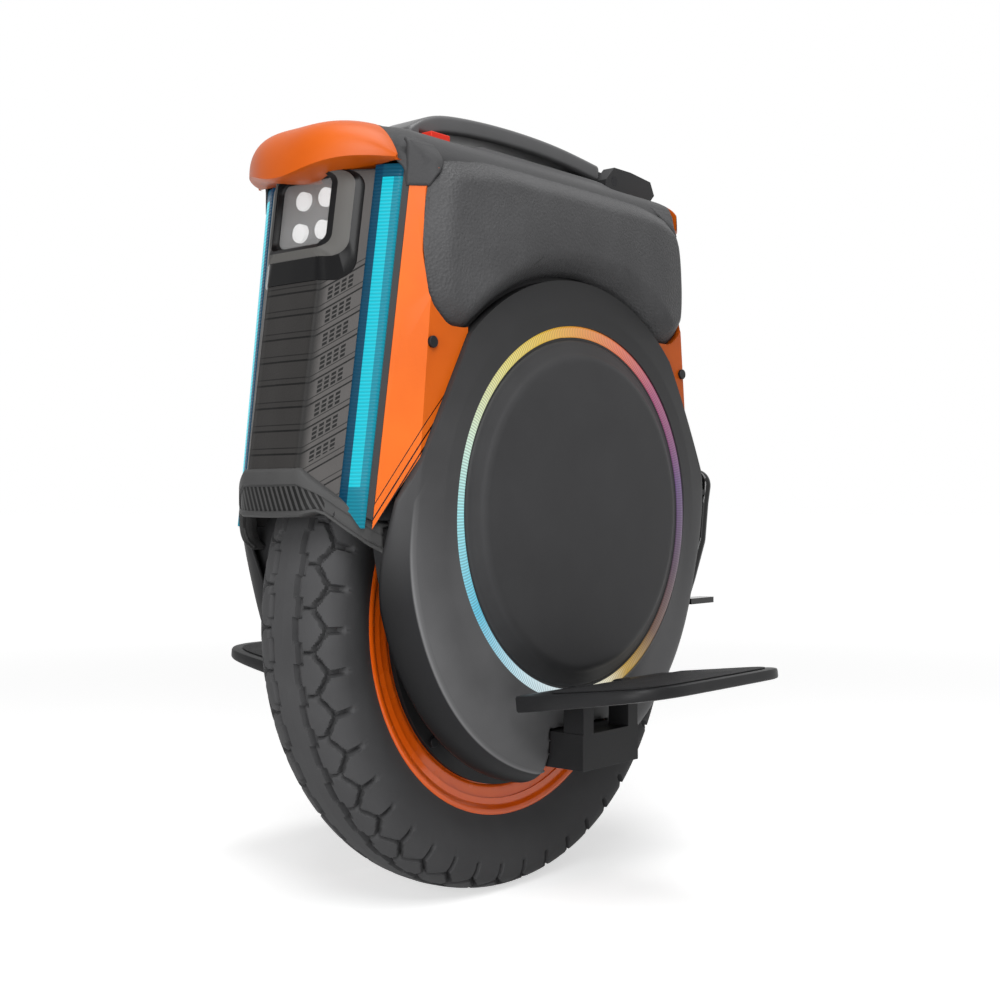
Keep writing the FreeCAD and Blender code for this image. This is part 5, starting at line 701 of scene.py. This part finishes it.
def leg_pad():
    """Rings that shrink from the pad's outline to its middle; d is a point's distance to the outline.

    The side is 2 + 13 sin(pi/2 min(d/17, 1))^1.15; below the top edge the face swells by 5 more over 48 mm.
    Both draw in towards the ends, and the front edge goes down to the side panel's chamfer.
    """
    at = np.radians(np.linspace(-34, 40.3, 9))
    arch = np.stack([PAD_ARCH_R * np.sin(at), DISC_Z + PAD_ARCH_R * np.cos(at)], 1)
    edge = smooth_line(np.vstack([arch, PAD_EDGE]), 320, closed=True)
    middle = np.array(PAD_MIDDLE)
    rings = edge + (middle - edge) * np.array(PAD_SHARES)[:, None, None]
    step = np.roll(edge, -1, axis=0) - edge
    from_start = rings[:, :, None] - edge
    on = np.clip((from_start * step).sum(-1) / (step ** 2).sum(-1), 0, 1)
    away = np.linalg.norm(from_start - on[..., None] * step, axis=-1).min(-1)
    x, z = rings[..., 0], rings[..., 1]
    thick = 1 - 0.42 * ease(92, 160, x) - 0.4 * ease(90, 147, -x)
    swell = np.sin(np.pi / 2 * np.clip((530 - z) / 48, 0, 1))
    round_side = np.sin(np.pi / 2 * np.minimum(away / 17, 1)) ** 1.15
    y = PAD_BACK_Y + thick * (2 + (13 + 5 * swell) * round_side)
    y -= np.maximum(x - 151.5 - 0.13 * (LEAN_Z - z), 0) * (1 - ease(0, 9, away))
    back = [np.broadcast_to(middle, edge.shape), edge * 0.985 + middle * 0.015]
    rings = np.concatenate([back, rings])
    y = np.vstack([np.full((2, len(edge)), PAD_BACK_Y), y])
    return spots(rings[..., 0], y, rings[..., 1])


for side, flip in SIDES:
    make("side_disc_%s_turned" % side, "chassis", DISC_BLACK,
         [(flip(turned(DISC_LINE, 144, DISC_Z)), True, False)], ("side_disc_" + side,), sharp=30)
    grid, marks = lower_cover()
    cover = make("lower_cover_%s_domed" % side, "chassis", COVER_GREY, [(flip(grid), True, False, marks)],
                 ("lower_cover_" + side,), closed=False, drop=in_notch, look_from=(0, 0, DISC_Z), sharp=40)
    walled(cover, 3)
    pad = make("leg_pad_%s_moulded" % side, "chassis", PAD_SKIN, [(flip(leg_pad()), False, True)],
               ("leg_pad_" + side,))
make("led_rings_frosted", "chassis", RING_LIGHT,
     [(flip(turned(RING_LINE, 160, DISC_Z)), True, True) for _, flip in SIDES], ("led_rings",))


# Front.

PLAN_Y = (0, 25, 28.5, 51, 68.5, 71.5)
PLAN_X = (192, 192, 189, 174.5, 165.5, 162.5)


def lean(x, y, z):
    """Where a point of the plan at the lean height comes to at z: it leans out and its sides draw in."""
    drop = LEAN_Z - z
    x = x + drop * (LEAN - PINCH * np.abs(y) / BAR_OUT_Y)
    y = y * (1 - drop * PINCH / BAR_OUT_Y)
    return spots(x, y, z)


def nose_top(y):
    """Height of the nose guard's upper edge at a distance from the middle."""
    return np.interp(np.abs(y), (0, 27, 60, 66), (317, 317, 288, 279))


def front_skin():
    """The plan line drawn forward by 0.4 from the nose guard up to the visor; v falls off to the sides."""
    y = np.concatenate([np.linspace(0, 25, 6), np.linspace(25, 28.5, 5)[1:], np.linspace(28.5, 51, 8)[1:]])
    y = np.concatenate([-y[:0:-1], y])[None]
    x = np.interp(np.abs(y), PLAN_Y, PLAN_X) + 0.4
    low = nose_top(y) - 4
    z = low + (515 - low) * np.linspace(0, 1, 30)[:, None]
    rise = np.maximum(np.abs(y) - 27, 0) * 17 / 24
    uv = spots(np.abs(y), z - rise)
    return lean(x, y, z), uv


def over_lens(middles):
    """The opening in the panel for the headlight and its surround."""
    return (np.abs(middles[:, 1]) < 38) & (middles[:, 2] > 464)


def light_bar():
    """Straight across from the bar's inner to its outer edge, faintly bulged, from nose guard to visor."""
    across = np.linspace(0, 1, 9)[None]
    y = 51.2 + 17.1 * across
    x = 174.5 - 9 * across + 0.5 + 1.2 * np.sin(np.pi * across)
    low = nose_top(y) - 1
    z = low + (518.4 - low) * np.linspace(0, 1, 12)[:, None]
    return lean(x, y, z), spots(across, z)


def rounded_ring(half, low, high, r):
    """A closed loop of (y, z): a rectangle with quarter circles of 14 points and sides of 36."""
    turn = np.linspace(0, np.pi / 2, 14)
    corners = ((half - r, high - r), (r - half, high - r), (r - half, low + r), (half - r, low + r))
    arcs = [np.stack([y + r * np.cos(turn + i * np.pi / 2), z + r * np.sin(turn + i * np.pi / 2)], 1)
            for i, (y, z) in enumerate(corners)]
    way = np.linspace(0, 1, 38)[1:-1, None]
    return np.vstack([row for arc, ahead in zip(arcs, arcs[1:] + arcs[:1])
                      for row in (arc, arc[-1] + (ahead[0] - arc[-1]) * way)])


# Half width, low and high edge, corner radius, and x over the plan line or, where flat, over 0.
BEZEL_RINGS = ((24.8, 467.8, 512.8, 7, 187.2, True), (26.4, 466.6, 513.6, 7.6, 188.4, True),
               (27.6, 465.6, 514.4, 8, 1.2, False), (31.4, 463.6, 515.2, 9, 2.4, False),
               (32.2, 463.2, 515.4, 9.4, 2.6, False), (41, 457.6, 515.8, 11, 1.9, False),
               (41.6, 457, 515.9, 11, 1.2, False), (46, 441.5, 516, 13, 1.0, False),
               (46.4, 441, 516, 13, 0.1, False))


def headlight_bezel():
    """Rounded rings about the lens: from its edge out of the recess, over a bevel and a black band."""
    rows, marks = [], []
    for i, (half, low, high, r, height, flat) in enumerate(BEZEL_RINGS):
        y, z = rounded_ring(half, low, high, r).T
        x = height if flat else np.interp(np.abs(y), PLAN_Y, PLAN_X) + height
        rows.append(lean(x, y, z))
        marks.append(spots(i / (len(BEZEL_RINGS) - 1), z))
    return np.stack(rows), np.stack(marks)


NOSE_PLAN = ((182, -66), (195.5, -60), (210, -45), (219.5, -32), (222.6, -20), (223.6, 0), (222.6, 20),
             (219.5, 32), (210, 45), (195.5, 60), (182, 66))
# Share of the way down and way back of each row: back edge, rounded top, band, slotted face, lip, turn under.
NOSE_ROWS = ((0, 24), (0, 3), (0.03, 1), (0.09, 0), (0.33, 0), (0.36, 1.6), (0.86, 1.8), (0.89, 0.3),
             (0.96, 0), (1, 1.2), (1, 14))


def nose_guard():
    """Rows round the nose's plan between its upper and its lower edge, each drawn in from it."""
    path = smooth_line(NOSE_PLAN, 80)
    x, y = path.T
    way = way_along(path)
    top = nose_top(y)
    low = np.interp(np.abs(y), (0, 28, 38, 43, 60, 66), (284.4, 285, 288, 286, 269.5, 261))
    rows, marks = [], []
    for down, back in NOSE_ROWS:
        rows.append(spots(x - back, y * (1 - back / 400), top + (low - top) * down))
        marks.append(spots(way, down))
    return np.stack(rows), np.stack(marks)


grid, marks = front_skin()
make("front_panel_grained", "chassis", FRONT_GREY, [(grid, False, False, marks)], slot="front_grey",
     closed=False, sharp=50, drop=over_lens)
grid, marks = light_bar()
bars = make("light_bars_ribbed", "chassis", BAR_LIGHT,
            [(flip(grid), False, False, marks) for _, flip in SIDES], ("light_bars",), closed=False)
walled(bars, 4)
grid, marks = headlight_bezel()
make("headlight_bezel_framed", "chassis", BEZEL, [(grid, False, True, marks)], ("headlight_bezel",),
     closed=False, sharp=30)
grid, marks = nose_guard()
nose = make("nose_guard_slotted", "chassis", NOSE_SLOTS, [(grid, False, False, marks)], ("nose_guard",),
            closed=False, sharp=40, look_from=(150, 0, 300))
walled(nose, 3)


# Top.

# Half width of visor and tail cap, the visor's rear edge across the width, and the height of its underside.
HOOD_HALF = 70
VISOR_BACK = (172, 170.6, 167.9, 163.9, 156, 143, 156, 163.9, 167.9, 170.6, 172)
VISOR_CLIMB, VISOR_UNDER = 40, 516.3


def across_hood(count):
    """Places across a hood, closer together at its ends, and their share u of the half width."""
    y = HOOD_HALF * np.sin(np.linspace(-np.pi / 2, np.pi / 2, count))[:, None]
    return y, np.abs(y) / HOOD_HALF


def bulge(u):
    """How far a hood reaches out at u: (1 - u^2.2)^0.9."""
    return np.maximum(1 - u ** 2.2, 0) ** 0.9


def visor():
    """Sections across the width, whose front edge is 173.3 + 42.7 bulge(u).

    A section climbs from its lip, 521 - 11 (1 - u^2)^4, as a quarter of a rounded square over 40 mm to its
    crest, 525.8 - 11 (1 - u^2)^2 + 35.2 (1 - u^2.5)^0.75, then falls off slowly to the rear edge.
    """
    y, u = across_hood(81)
    even = np.linspace(-HOOD_HALF, HOOD_HALF, len(VISOR_BACK))
    table = smooth_line(np.column_stack([even, VISOR_BACK]), 200)
    back = np.interp(y, table[:, 0], table[:, 1])
    front = 173.3 + 42.7 * bulge(u)
    lip = 521 - 11 * (1 - u ** 2) ** 4
    height = 4.8 + 35.2 * np.maximum(1 - u ** 2.5, 0) ** 0.75
    crest = 521 - 11 * (1 - u ** 2) ** 2 + height
    x = front - (front - back) * np.linspace(0, 1, 34) ** 1.6
    d = np.clip((front - x) / VISOR_CLIMB, 0, 1)
    climb = (1 - (1 - d) ** 2.6) ** (1 / 2.6)
    z = lip + (crest - lip) * climb - 4 * ease(VISOR_CLIMB, 75, front - x) * height / 40
    low = spots(front - 5, y, lip - 1.5)
    under = spots(back, y, np.maximum(lip - 1.5, VISOR_UNDER))
    grid = np.concatenate([under, low, spots(x, y, z)], axis=1)
    behind = grid[..., 0] < 194.5
    grid[..., 2] = np.where(behind, np.maximum(grid[..., 2], VISOR_UNDER), grid[..., 2])
    return grid


TOP_SIDE = ((30, 553), (37, 552.7), (50, 548.8), (64, 541), (73, 531.6), (77.4, 523.5), (78.4, 516))
TOP_Z = 553
# The finger well's ends and half width, and the ends of the slot under the release tab.
WELL, WELL_HALF = (-100, 68), 30
SLOT = (74, 94.5)
# Where the cover's corners begin, where its front end does, and the middle between the corners.
CORNER_FRONT, CORNER_REAR = 149, -135
END_X = 136
MIDDLE_X = (CORNER_FRONT + CORNER_REAR) / 2
# Edges of the top cover as (way out, x), and the height it draws down to beside the visor.
COVER_OUT = (0, 14, 28, 42, 56, 66, 70, 72, 74, 79)
COVER_FRONT = (142.4, 155.4, 163.3, 167.3, 170, 171, 171.4, 169, 165.5, 164.5)
VISOR_SIDE_OUT = (0, 28, 42, 50, 56, 63, 68, 70, 72, 79)
VISOR_SIDE_Z = (546, 548, 548.6, 546, 541.6, 534.6, 527, 524, 520, 504)
# Share of the well's outline and height of its rows below the rim.
WELL_ROWS = ((0.996, 551), (0.985, 536), (0.96, 532.6), (0.9, 532), (0, 532))


def chamfer_y(x):
    """How far out the cut corners let the cover come at x."""
    return 86.2 - 1.007 * np.maximum(np.maximum(x - CORNER_FRONT, CORNER_REAR - x), 0)


def top_grid(x, y, z):
    """Carries a section (y, z) to x: a lip of 5 mm beside the well, and corners cut at 45 degrees."""
    beside = ease(-118, -96, x) * (1 - ease(44, 73, x))
    z = z + 5 * beside * np.exp(-((np.abs(y) - 33) / 8) ** 2)
    y = np.sign(y) * np.minimum(np.abs(y), chamfer_y(x))
    return spots(x, y, z)


def top_corner():
    """The cover's foot beside the pad: on the panel's chamfer at first, then drawn in to the cover above."""
    z = np.linspace(503.6, 536, 16)[:, None]
    start = np.interp(z, (503.6, 511, 521, 536), (153.8, 150.2, 141, 136))
    x = start + (164.6 - start) * np.linspace(0, 1, 14)
    side = smooth_line(TOP_SIDE, 60)[::-1]
    chamfer = chamfer_y(x)
    cover = np.minimum(np.interp(z, side[:, 1], side[:, 0]), chamfer)
    y = chamfer + (cover - chamfer) * ease(509, 534, z) + 0.45
    return spots(x, y, z)


def top_cover():
    """A section carried from the tail to the visor's rear edge, the finger well, and the corners."""
    over = np.vstack([[(y, TOP_Z) for y in (0, 5, 12, 20)], smooth_line(TOP_SIDE, 30)])
    y, z = np.vstack([over[:0:-1] * (-1, 1), over]).T[:, None]
    wide = np.abs(y)
    front = np.interp(wide, COVER_OUT, COVER_FRONT)
    rear = np.interp(wide, (0, 70, 72, 74, 79), (-159.4, -159.4, -155, -151.5, -150.5))
    spans = ((CORNER_REAR, WELL[0], 9), (*WELL, 30), (WELL[1], SLOT[0], 3), (*SLOT, 6), (SLOT[1], END_X, 10))
    inner = np.concatenate([[CORNER_REAR]] + [np.linspace(*span)[1:] for span in spans])[:, None]
    ends = np.linspace(0, 1, 26)[:, None]
    x = np.concatenate([rear + (CORNER_REAR - rear) * ends[:-1], inner + 0 * y,
                        END_X + (front - END_X) * ends[1:]])
    cover = top_grid(x, y, z)
    down = np.minimum(np.interp(wide, VISOR_SIDE_OUT, VISOR_SIDE_Z) - cover[..., 2], 0)
    cover[..., 2] += ease(-30, -2, x - front) * down
    along, across = np.linspace(*WELL, 30), np.array((-30, -20, -12, -5, 0, 5, 12, 20, 30))
    around = np.vstack([np.column_stack([along, 0 * along + WELL_HALF]),
                        np.column_stack([0 * across[1:] + WELL[1], across[::-1][1:]]),
                        np.column_stack([along[::-1][1:], 0 * along[1:] - WELL_HALF]),
                        np.column_stack([0 * across[1:-1] + WELL[0], across[1:-1]])])
    rim = top_grid(around[:, 0], around[:, 1], np.full(len(around), float(TOP_Z)))
    middle = np.array((sum(WELL) / 2, 0))
    rows = [rim] + [np.column_stack([drawn(around, middle, share), np.full(len(around), height)])
                    for share, height in WELL_ROWS]
    corner = top_corner()
    rear_corner = (corner - (MIDDLE_X, 0, 0)) * (-1, 1, 1) + (MIDDLE_X, 0, 0)
    corners = [(flip(grid), False, False) for grid in (corner, rear_corner) for _, flip in SIDES]
    return [(cover, False, False), (np.stack(rows), False, True)] + corners


def in_well(middles):
    """The finger well and the slot under the release tab."""
    x, y = middles[:, 0], np.abs(middles[:, 1])
    well = (y < WELL_HALF - 1) & (x > WELL[0]) & (x < WELL[1])
    slot = (y < 5) & (x > SLOT[0]) & (x < SLOT[1])
    return (middles[:, 2] > TOP_Z - 0.5) & (well | slot)


HANDLE_TOP = ((108, 563.8), (90.8, 573.6), (68.6, 579.9), (29.3, 583.7), (-19.9, 585), (-71.6, 583.1),
              (-138, 576))
# Pin (x, z), half width and corner radius of the handle, and the radius of its knuckle.
HANDLE_PIN, HANDLE_HALF, HANDLE_ROUND, KNUCKLE_R = (-138, 567), 19, 4.0, 9


def carry_handle():
    """Rounded rectangles between the handle's top line and its under line, and a knuckle round the pin."""
    top = smooth_line(HANDLE_TOP, 300)[::-1]
    x = np.concatenate([[108, 108, 107.6, 106.6, 105, 102, 98.6, 98.3, 94, 90, 85.5],
                        np.linspace(81, -116, 50), [-119, -120.4, -121.2, -121.5, -121.5]])[:, None]
    grown = np.ones_like(x)
    grown[:4, 0], grown[-4:, 0] = (0, 0.72, 0.88, 0.96), (0.96, 0.88, 0.76, 0)
    high = np.interp(x, top[:, 0], top[:, 1])
    low = np.where(x > 98.5, 553.4, np.maximum(high - 14, np.where(x > 85, 561.2, 0)))
    turn = np.linspace(0, 2 * np.pi, 40, endpoint=False) + np.pi / 40
    y = np.sign(np.cos(turn)) * (HANDLE_HALF - HANDLE_ROUND) + HANDLE_ROUND * np.cos(turn)
    z = np.sign(np.sin(turn)) * ((high - low) / 2 - HANDLE_ROUND) + HANDLE_ROUND * np.sin(turn)
    bar = spots(x, y * grown, (high + low) / 2 + z * grown)
    half = np.radians(np.linspace(90, 270, 21))
    knuckle = np.column_stack([np.cos(half), np.sin(half)]) * KNUCKLE_R + HANDLE_PIN
    knuckle = np.vstack([knuckle, [(-119, 564.2), (-119, 577.4)]])
    middle = np.array((-134, 567.5))
    rows = [np.column_stack([drawn(knuckle, middle, share), np.full(len(knuckle), y)])[:, (0, 2, 1)]
            for share, y in ((0, -10), (0.93, -10), (1, -9.3), (1, 9.3), (0.93, 10), (0, 10))]
    return [(bar, False, True), (np.stack(rows), False, True)]


def tail_cap():
    """Sections across the width, from the top cover's end out to -160.4 - 44 bulge(u) and round to a lip."""
    y, u = across_hood(61)
    side = smooth_line(TOP_SIDE, 60)
    high = np.interp(np.abs(y), side[:, 0], side[:, 1]) - 0.3
    out = 160.4 + 44 * bulge(u)
    lip = 523 - 6 * (1 - u ** 2) ** 2
    s = np.linspace(0, 1, 24) ** 0.7
    x = -(159.6 + (out - 159.6) * s)
    z = lip + (high - lip) * (1 - s ** 2.4) ** (1 / 2.4)
    low = spots(3 - out, y, lip - 1)
    under = spots(-159.6, y, lip - 1)
    return np.concatenate([spots(x, y, z), low, under], axis=1)


make("visor_smooth", "chassis", ORANGE_ABS, [(visor(), False, True)], ("visor",), closed=False,
     look_from=(160, 0, 525))
make("tail_cap_smooth", "chassis", ORANGE_ABS, [(tail_cap(), False, True)], ("tail_cap",), closed=False,
     look_from=(-165, 0, 525))
cover = make("top_cover_pebbled", "chassis", TOP_GRAIN, top_cover(), ("top_cover",), closed=False,
             drop=in_well, sharp=50)
walled(cover, 2)
make("carry_handle_swept", BODY_OF["carry_handle"], HANDLE_GREY, carry_handle(), ("carry_handle",), sharp=45)


# Pedals.

# Hinge (y, z) and tilt, height of the top over the hinge, thickness of the grip, and the middle of the plan.
HINGE, TILT = (109, 155), math.radians(7)
PEDAL_TOP, GRIP_T = 8, 1.2
PEDAL_MIDDLE = (0, 60)


def pedal_line(inset, start, notch):
    """The pedal's plan (x, way out from the hinge), drawn in by an inset.

    The outer edge is a smooth leaf; the inner edge runs at start, and at notch in its middle part.
    """
    i = inset
    outer = smooth_line(((-86 + i, start), (-86 + i, 40), (-85.5 + i, 78), (-80 + i, 98 - i / 2),
                         (-62 + i / 2, 110 - i), (-20, 112 - i), (30, 112 - i), (68 - i / 2, 110 - i),
                         (88 - i, 97 - i / 2), (95.5 - i, 72), (96.5 - i, 30), (90 - i, start)), 90)
    inner = [(x, start) for x in (62, 35.2)] + [(x, notch) for x in (35.2, 20, 0, -20, -35.2)]
    return np.vstack([outer, inner, [(x, start) for x in (-35.2, -62)]])


def on_hinge(x, out, up):
    """Puts a point given by its way out from the hinge and up from it in place, tilted."""
    y = HINGE[0] + out * math.cos(TILT) - up * math.sin(TILT)
    z = HINGE[1] + out * math.sin(TILT) + up * math.cos(TILT)
    return spots(x, y, z)


def plate(line, low, high, round_by):
    """A plan line between two heights over the hinge, with rounded edges, closed over and under."""
    rows = []
    for share, at, shift in ((0, low, 0), (0.97, low, 0), (0.992, low, 0.3), (1, low, 1), (1, high, -1),
                             (0.992, high, -0.3), (0.97, high, 0), (0, high, 0)):
        x, out = drawn(line, np.array(PEDAL_MIDDLE), share).T
        rows.append(on_hinge(x, out, at(out) + shift * round_by))
    return np.stack(rows)


def pedal_low(out):
    """Underside of the pedal: from 4 mm under the hinge it rises evenly to its outer edge."""
    return np.interp(out, (-6, 112), (-4, 0.5))


def level(height):
    """A height that is the same all over the plan."""
    return lambda out: np.full_like(out, height)


def pedal_knuckle():
    """A rounded bar 42 long about the hinge pin that runs out into the plate."""
    turn = np.radians(np.linspace(90, 270, 15))
    loop = np.vstack([6.5 * np.column_stack([np.cos(turn), np.sin(turn)]),
                      [(0, -4), (20, -4), (20, 7.6), (0, 7.6)]])
    return np.stack([on_hinge(np.full(len(loop), x), *drawn(loop, np.array((4, 1)), share).T)
                     for share, x in ((0, -21), (0.94, -21), (1, -20.2), (1, 20.2), (0.94, 21), (0, 21))])


for side, flip in SIDES:
    board = plate(pedal_line(0, -6, 16.6), pedal_low, level(PEDAL_TOP), 1.6)
    make("pedal_%s_cast" % side, BODY_OF["pedal_" + side], POWDER_BLACK,
         [(flip(board), False, True), (flip(pedal_knuckle()), False, True)], ("pedal_" + side,), sharp=40)
    sheet = plate(pedal_line(8, 20, 20), level(PEDAL_TOP), level(PEDAL_TOP + GRIP_T), 0.3)
    make("pedal_grip_%s_gritty" % side, BODY_OF["pedal_grip_" + side], GRIP_RUBBER,
         [(flip(sheet), False, True)], ("pedal_grip_" + side,), sharp=40)


# Solids that show as they are: those with rounded edges (finish, width), and those with a finish alone.

ROUNDED = {
    "side_panel_left": (ORANGE_STRIPED, 1.2), "side_panel_right": (ORANGE_STRIPED, 1.2),
    "rear_side_panels": (ORANGE_ABS, 1.2), "handle_block": (SHELL_BLACK, 1.5), "release_tab": (TAB_RED, 1.2),
    "power_button": (SOFT_BLACK, 0.8), "rear_cover": (SHELL_BLACK, 1.0), "charge_port": (SHELL_BLACK, 0.5),
    "charge_cap": (SOFT_BLACK, 0.6), "pedal_hangers": (POWDER_BLACK, 1.2), "kickstand": (STAND_PAINT, 0.6),
    "kickstand_brackets": (POWDER_BLACK, 0.8), "panel_screws": (BLACK_OXIDE, 0.5),
    "motor_cover_left": (POWDER_BLACK, 1.0), "motor_cover_right": (POWDER_BLACK, 1.0),
    "motor_cover_screws": (BLACK_OXIDE, 0.4), "tail_light": (TAIL_RED, 0.6),
    "body_shell_left": (SHELL_BLACK, 0.8), "body_shell_right": (SHELL_BLACK, 0.8),
}
PLAIN = {
    SOFT_BLACK: "inner_tube motor_cable", COPPER_WIRE: "stator_windings", LAMINATIONS: "stator_core",
    GROUND_STEEL: "valve_stem rotor_magnets wheel_bearings axle pedal_pins", SHRINK_WRAP: "battery_packs",
    BLACK_OXIDE: "axle_nuts handle_pin", PLAIN_ALUMINIUM: "frame_plates heat_sink", LENS: "headlight_lens",
    SHELL_BLACK: "wheel_arch front_panel", BOARD_GREEN: "controller_board", LED_WHITE: "headlight_leds",
    GLOSS_BLACK: "headlight_housing",
}
for node, (finish, width) in ROUNDED.items():
    softened(node, finish, width)
for finish, names in PLAIN.items():
    for node in names.split():
        for slot in NODES[node].material_slots:
            slot.material = finish


# Stage, light and camera.

def seen_white(tree):
    """1 for what looks straight, in a mirror or through a clear piece, and 0 for light that bounces."""
    rays = add(tree, "LightPath").outputs
    seen = rays["Is Camera Ray"]
    for other in ("Is Glossy Ray", "Is Transmission Ray"):
        seen = add(tree, "Math", {0: seen, 1: rays[other]}, operation="MAXIMUM").outputs[0]
    return seen


def white_stage(name, shade, near, far):
    """A pale diffuse floor; what looks at it straight or in a mirror also sees a glow that keeps shadows.

    The glow rises from near to far over 0.7 to 3 m from the middle, so the floor ends in the white behind.
    """
    material, tree = blank(name)
    place = add(tree, "TexCoord").outputs["Object"]
    away = add(tree, "VectorMath", {0: place}, operation="LENGTH").outputs["Value"]
    ends = {"Value": away, "From Min": 0.7, "From Max": 3.0, "To Min": near, "To Max": far}
    lit = add(tree, "MapRange", ends, interpolation_type="SMOOTHSTEP").outputs["Result"]
    strength = add(tree, "Math", {0: seen_white(tree), 1: lit}, operation="MULTIPLY").outputs[0]
    glow = add(tree, "Emission", {"Color": (1, 1, 1, 1), "Strength": strength})
    matte = add(tree, "BsdfDiffuse", {"Color": linear(shade)})
    both = add(tree, "AddShader", {0: glow.outputs[0], 1: matte.outputs[0]})
    add(tree, "OutputMaterial", {"Surface": both.outputs[0]})
    return material


floor_mesh = bpy.data.meshes.new("floor")
floor_mesh.from_pydata([(-40, -40, 0), (40, -40, 0), (40, 40, 0), (-40, 40, 0)], [], [(0, 1, 2, 3)])
floor_mesh.materials.append(white_stage("pale_studio_floor", "#E6E6E6", 0.6, 0.9))
floor = bpy.data.objects.new("floor", floor_mesh)
bpy.context.scene.collection.objects.link(floor)

world = bpy.data.worlds.new("studio")
world.use_nodes = True
bpy.context.scene.world = world
tree = world.node_tree
tree.nodes.clear()
strength = add(tree, "MapRange", {"Value": seen_white(tree), "To Min": 0.15}).outputs["Result"]
sky = add(tree, "Background", {"Color": (1, 1, 1, 1), "Strength": strength})
add(tree, "OutputWorld", {"Surface": sky.outputs[0]})


def softbox(name, place, size, power):
    """A square lamp that looks at the machine's middle."""
    lamp = bpy.data.lights.new(name, "AREA")
    lamp.energy = power
    lamp.size = size
    thing = bpy.data.objects.new(name, lamp)
    thing.location = place
    thing.rotation_euler = (Vector((0, 0, 0.3)) - Vector(place)).to_track_quat("-Z", "Y").to_euler()
    bpy.context.scene.collection.objects.link(thing)


softbox("key_softbox", (0.8, 0.75, 1.05), 0.6, 11)
softbox("side_softbox", (0.9, 1.3, 0.45), 0.8, 2)
softbox("low_softbox", (1.3, 0.5, 0.35), 0.7, 9)
softbox("top_softbox", (0.1, 0.3, 1.8), 0.9, 16)

camera = bpy.data.cameras.new("camera")
camera.sensor_width = 36
camera.lens = 50.21
eye = bpy.data.objects.new("camera", camera)
eye.location = (0.8247, 0.7120, 0.2923)
eye.rotation_euler = Vector((-0.7624, -0.6471, 0.0042)).to_track_quat("-Z", "Y").to_euler()
bpy.context.scene.collection.objects.link(eye)
bpy.context.scene.camera = eye
bpy.context.scene.view_settings.view_transform = "Standard"
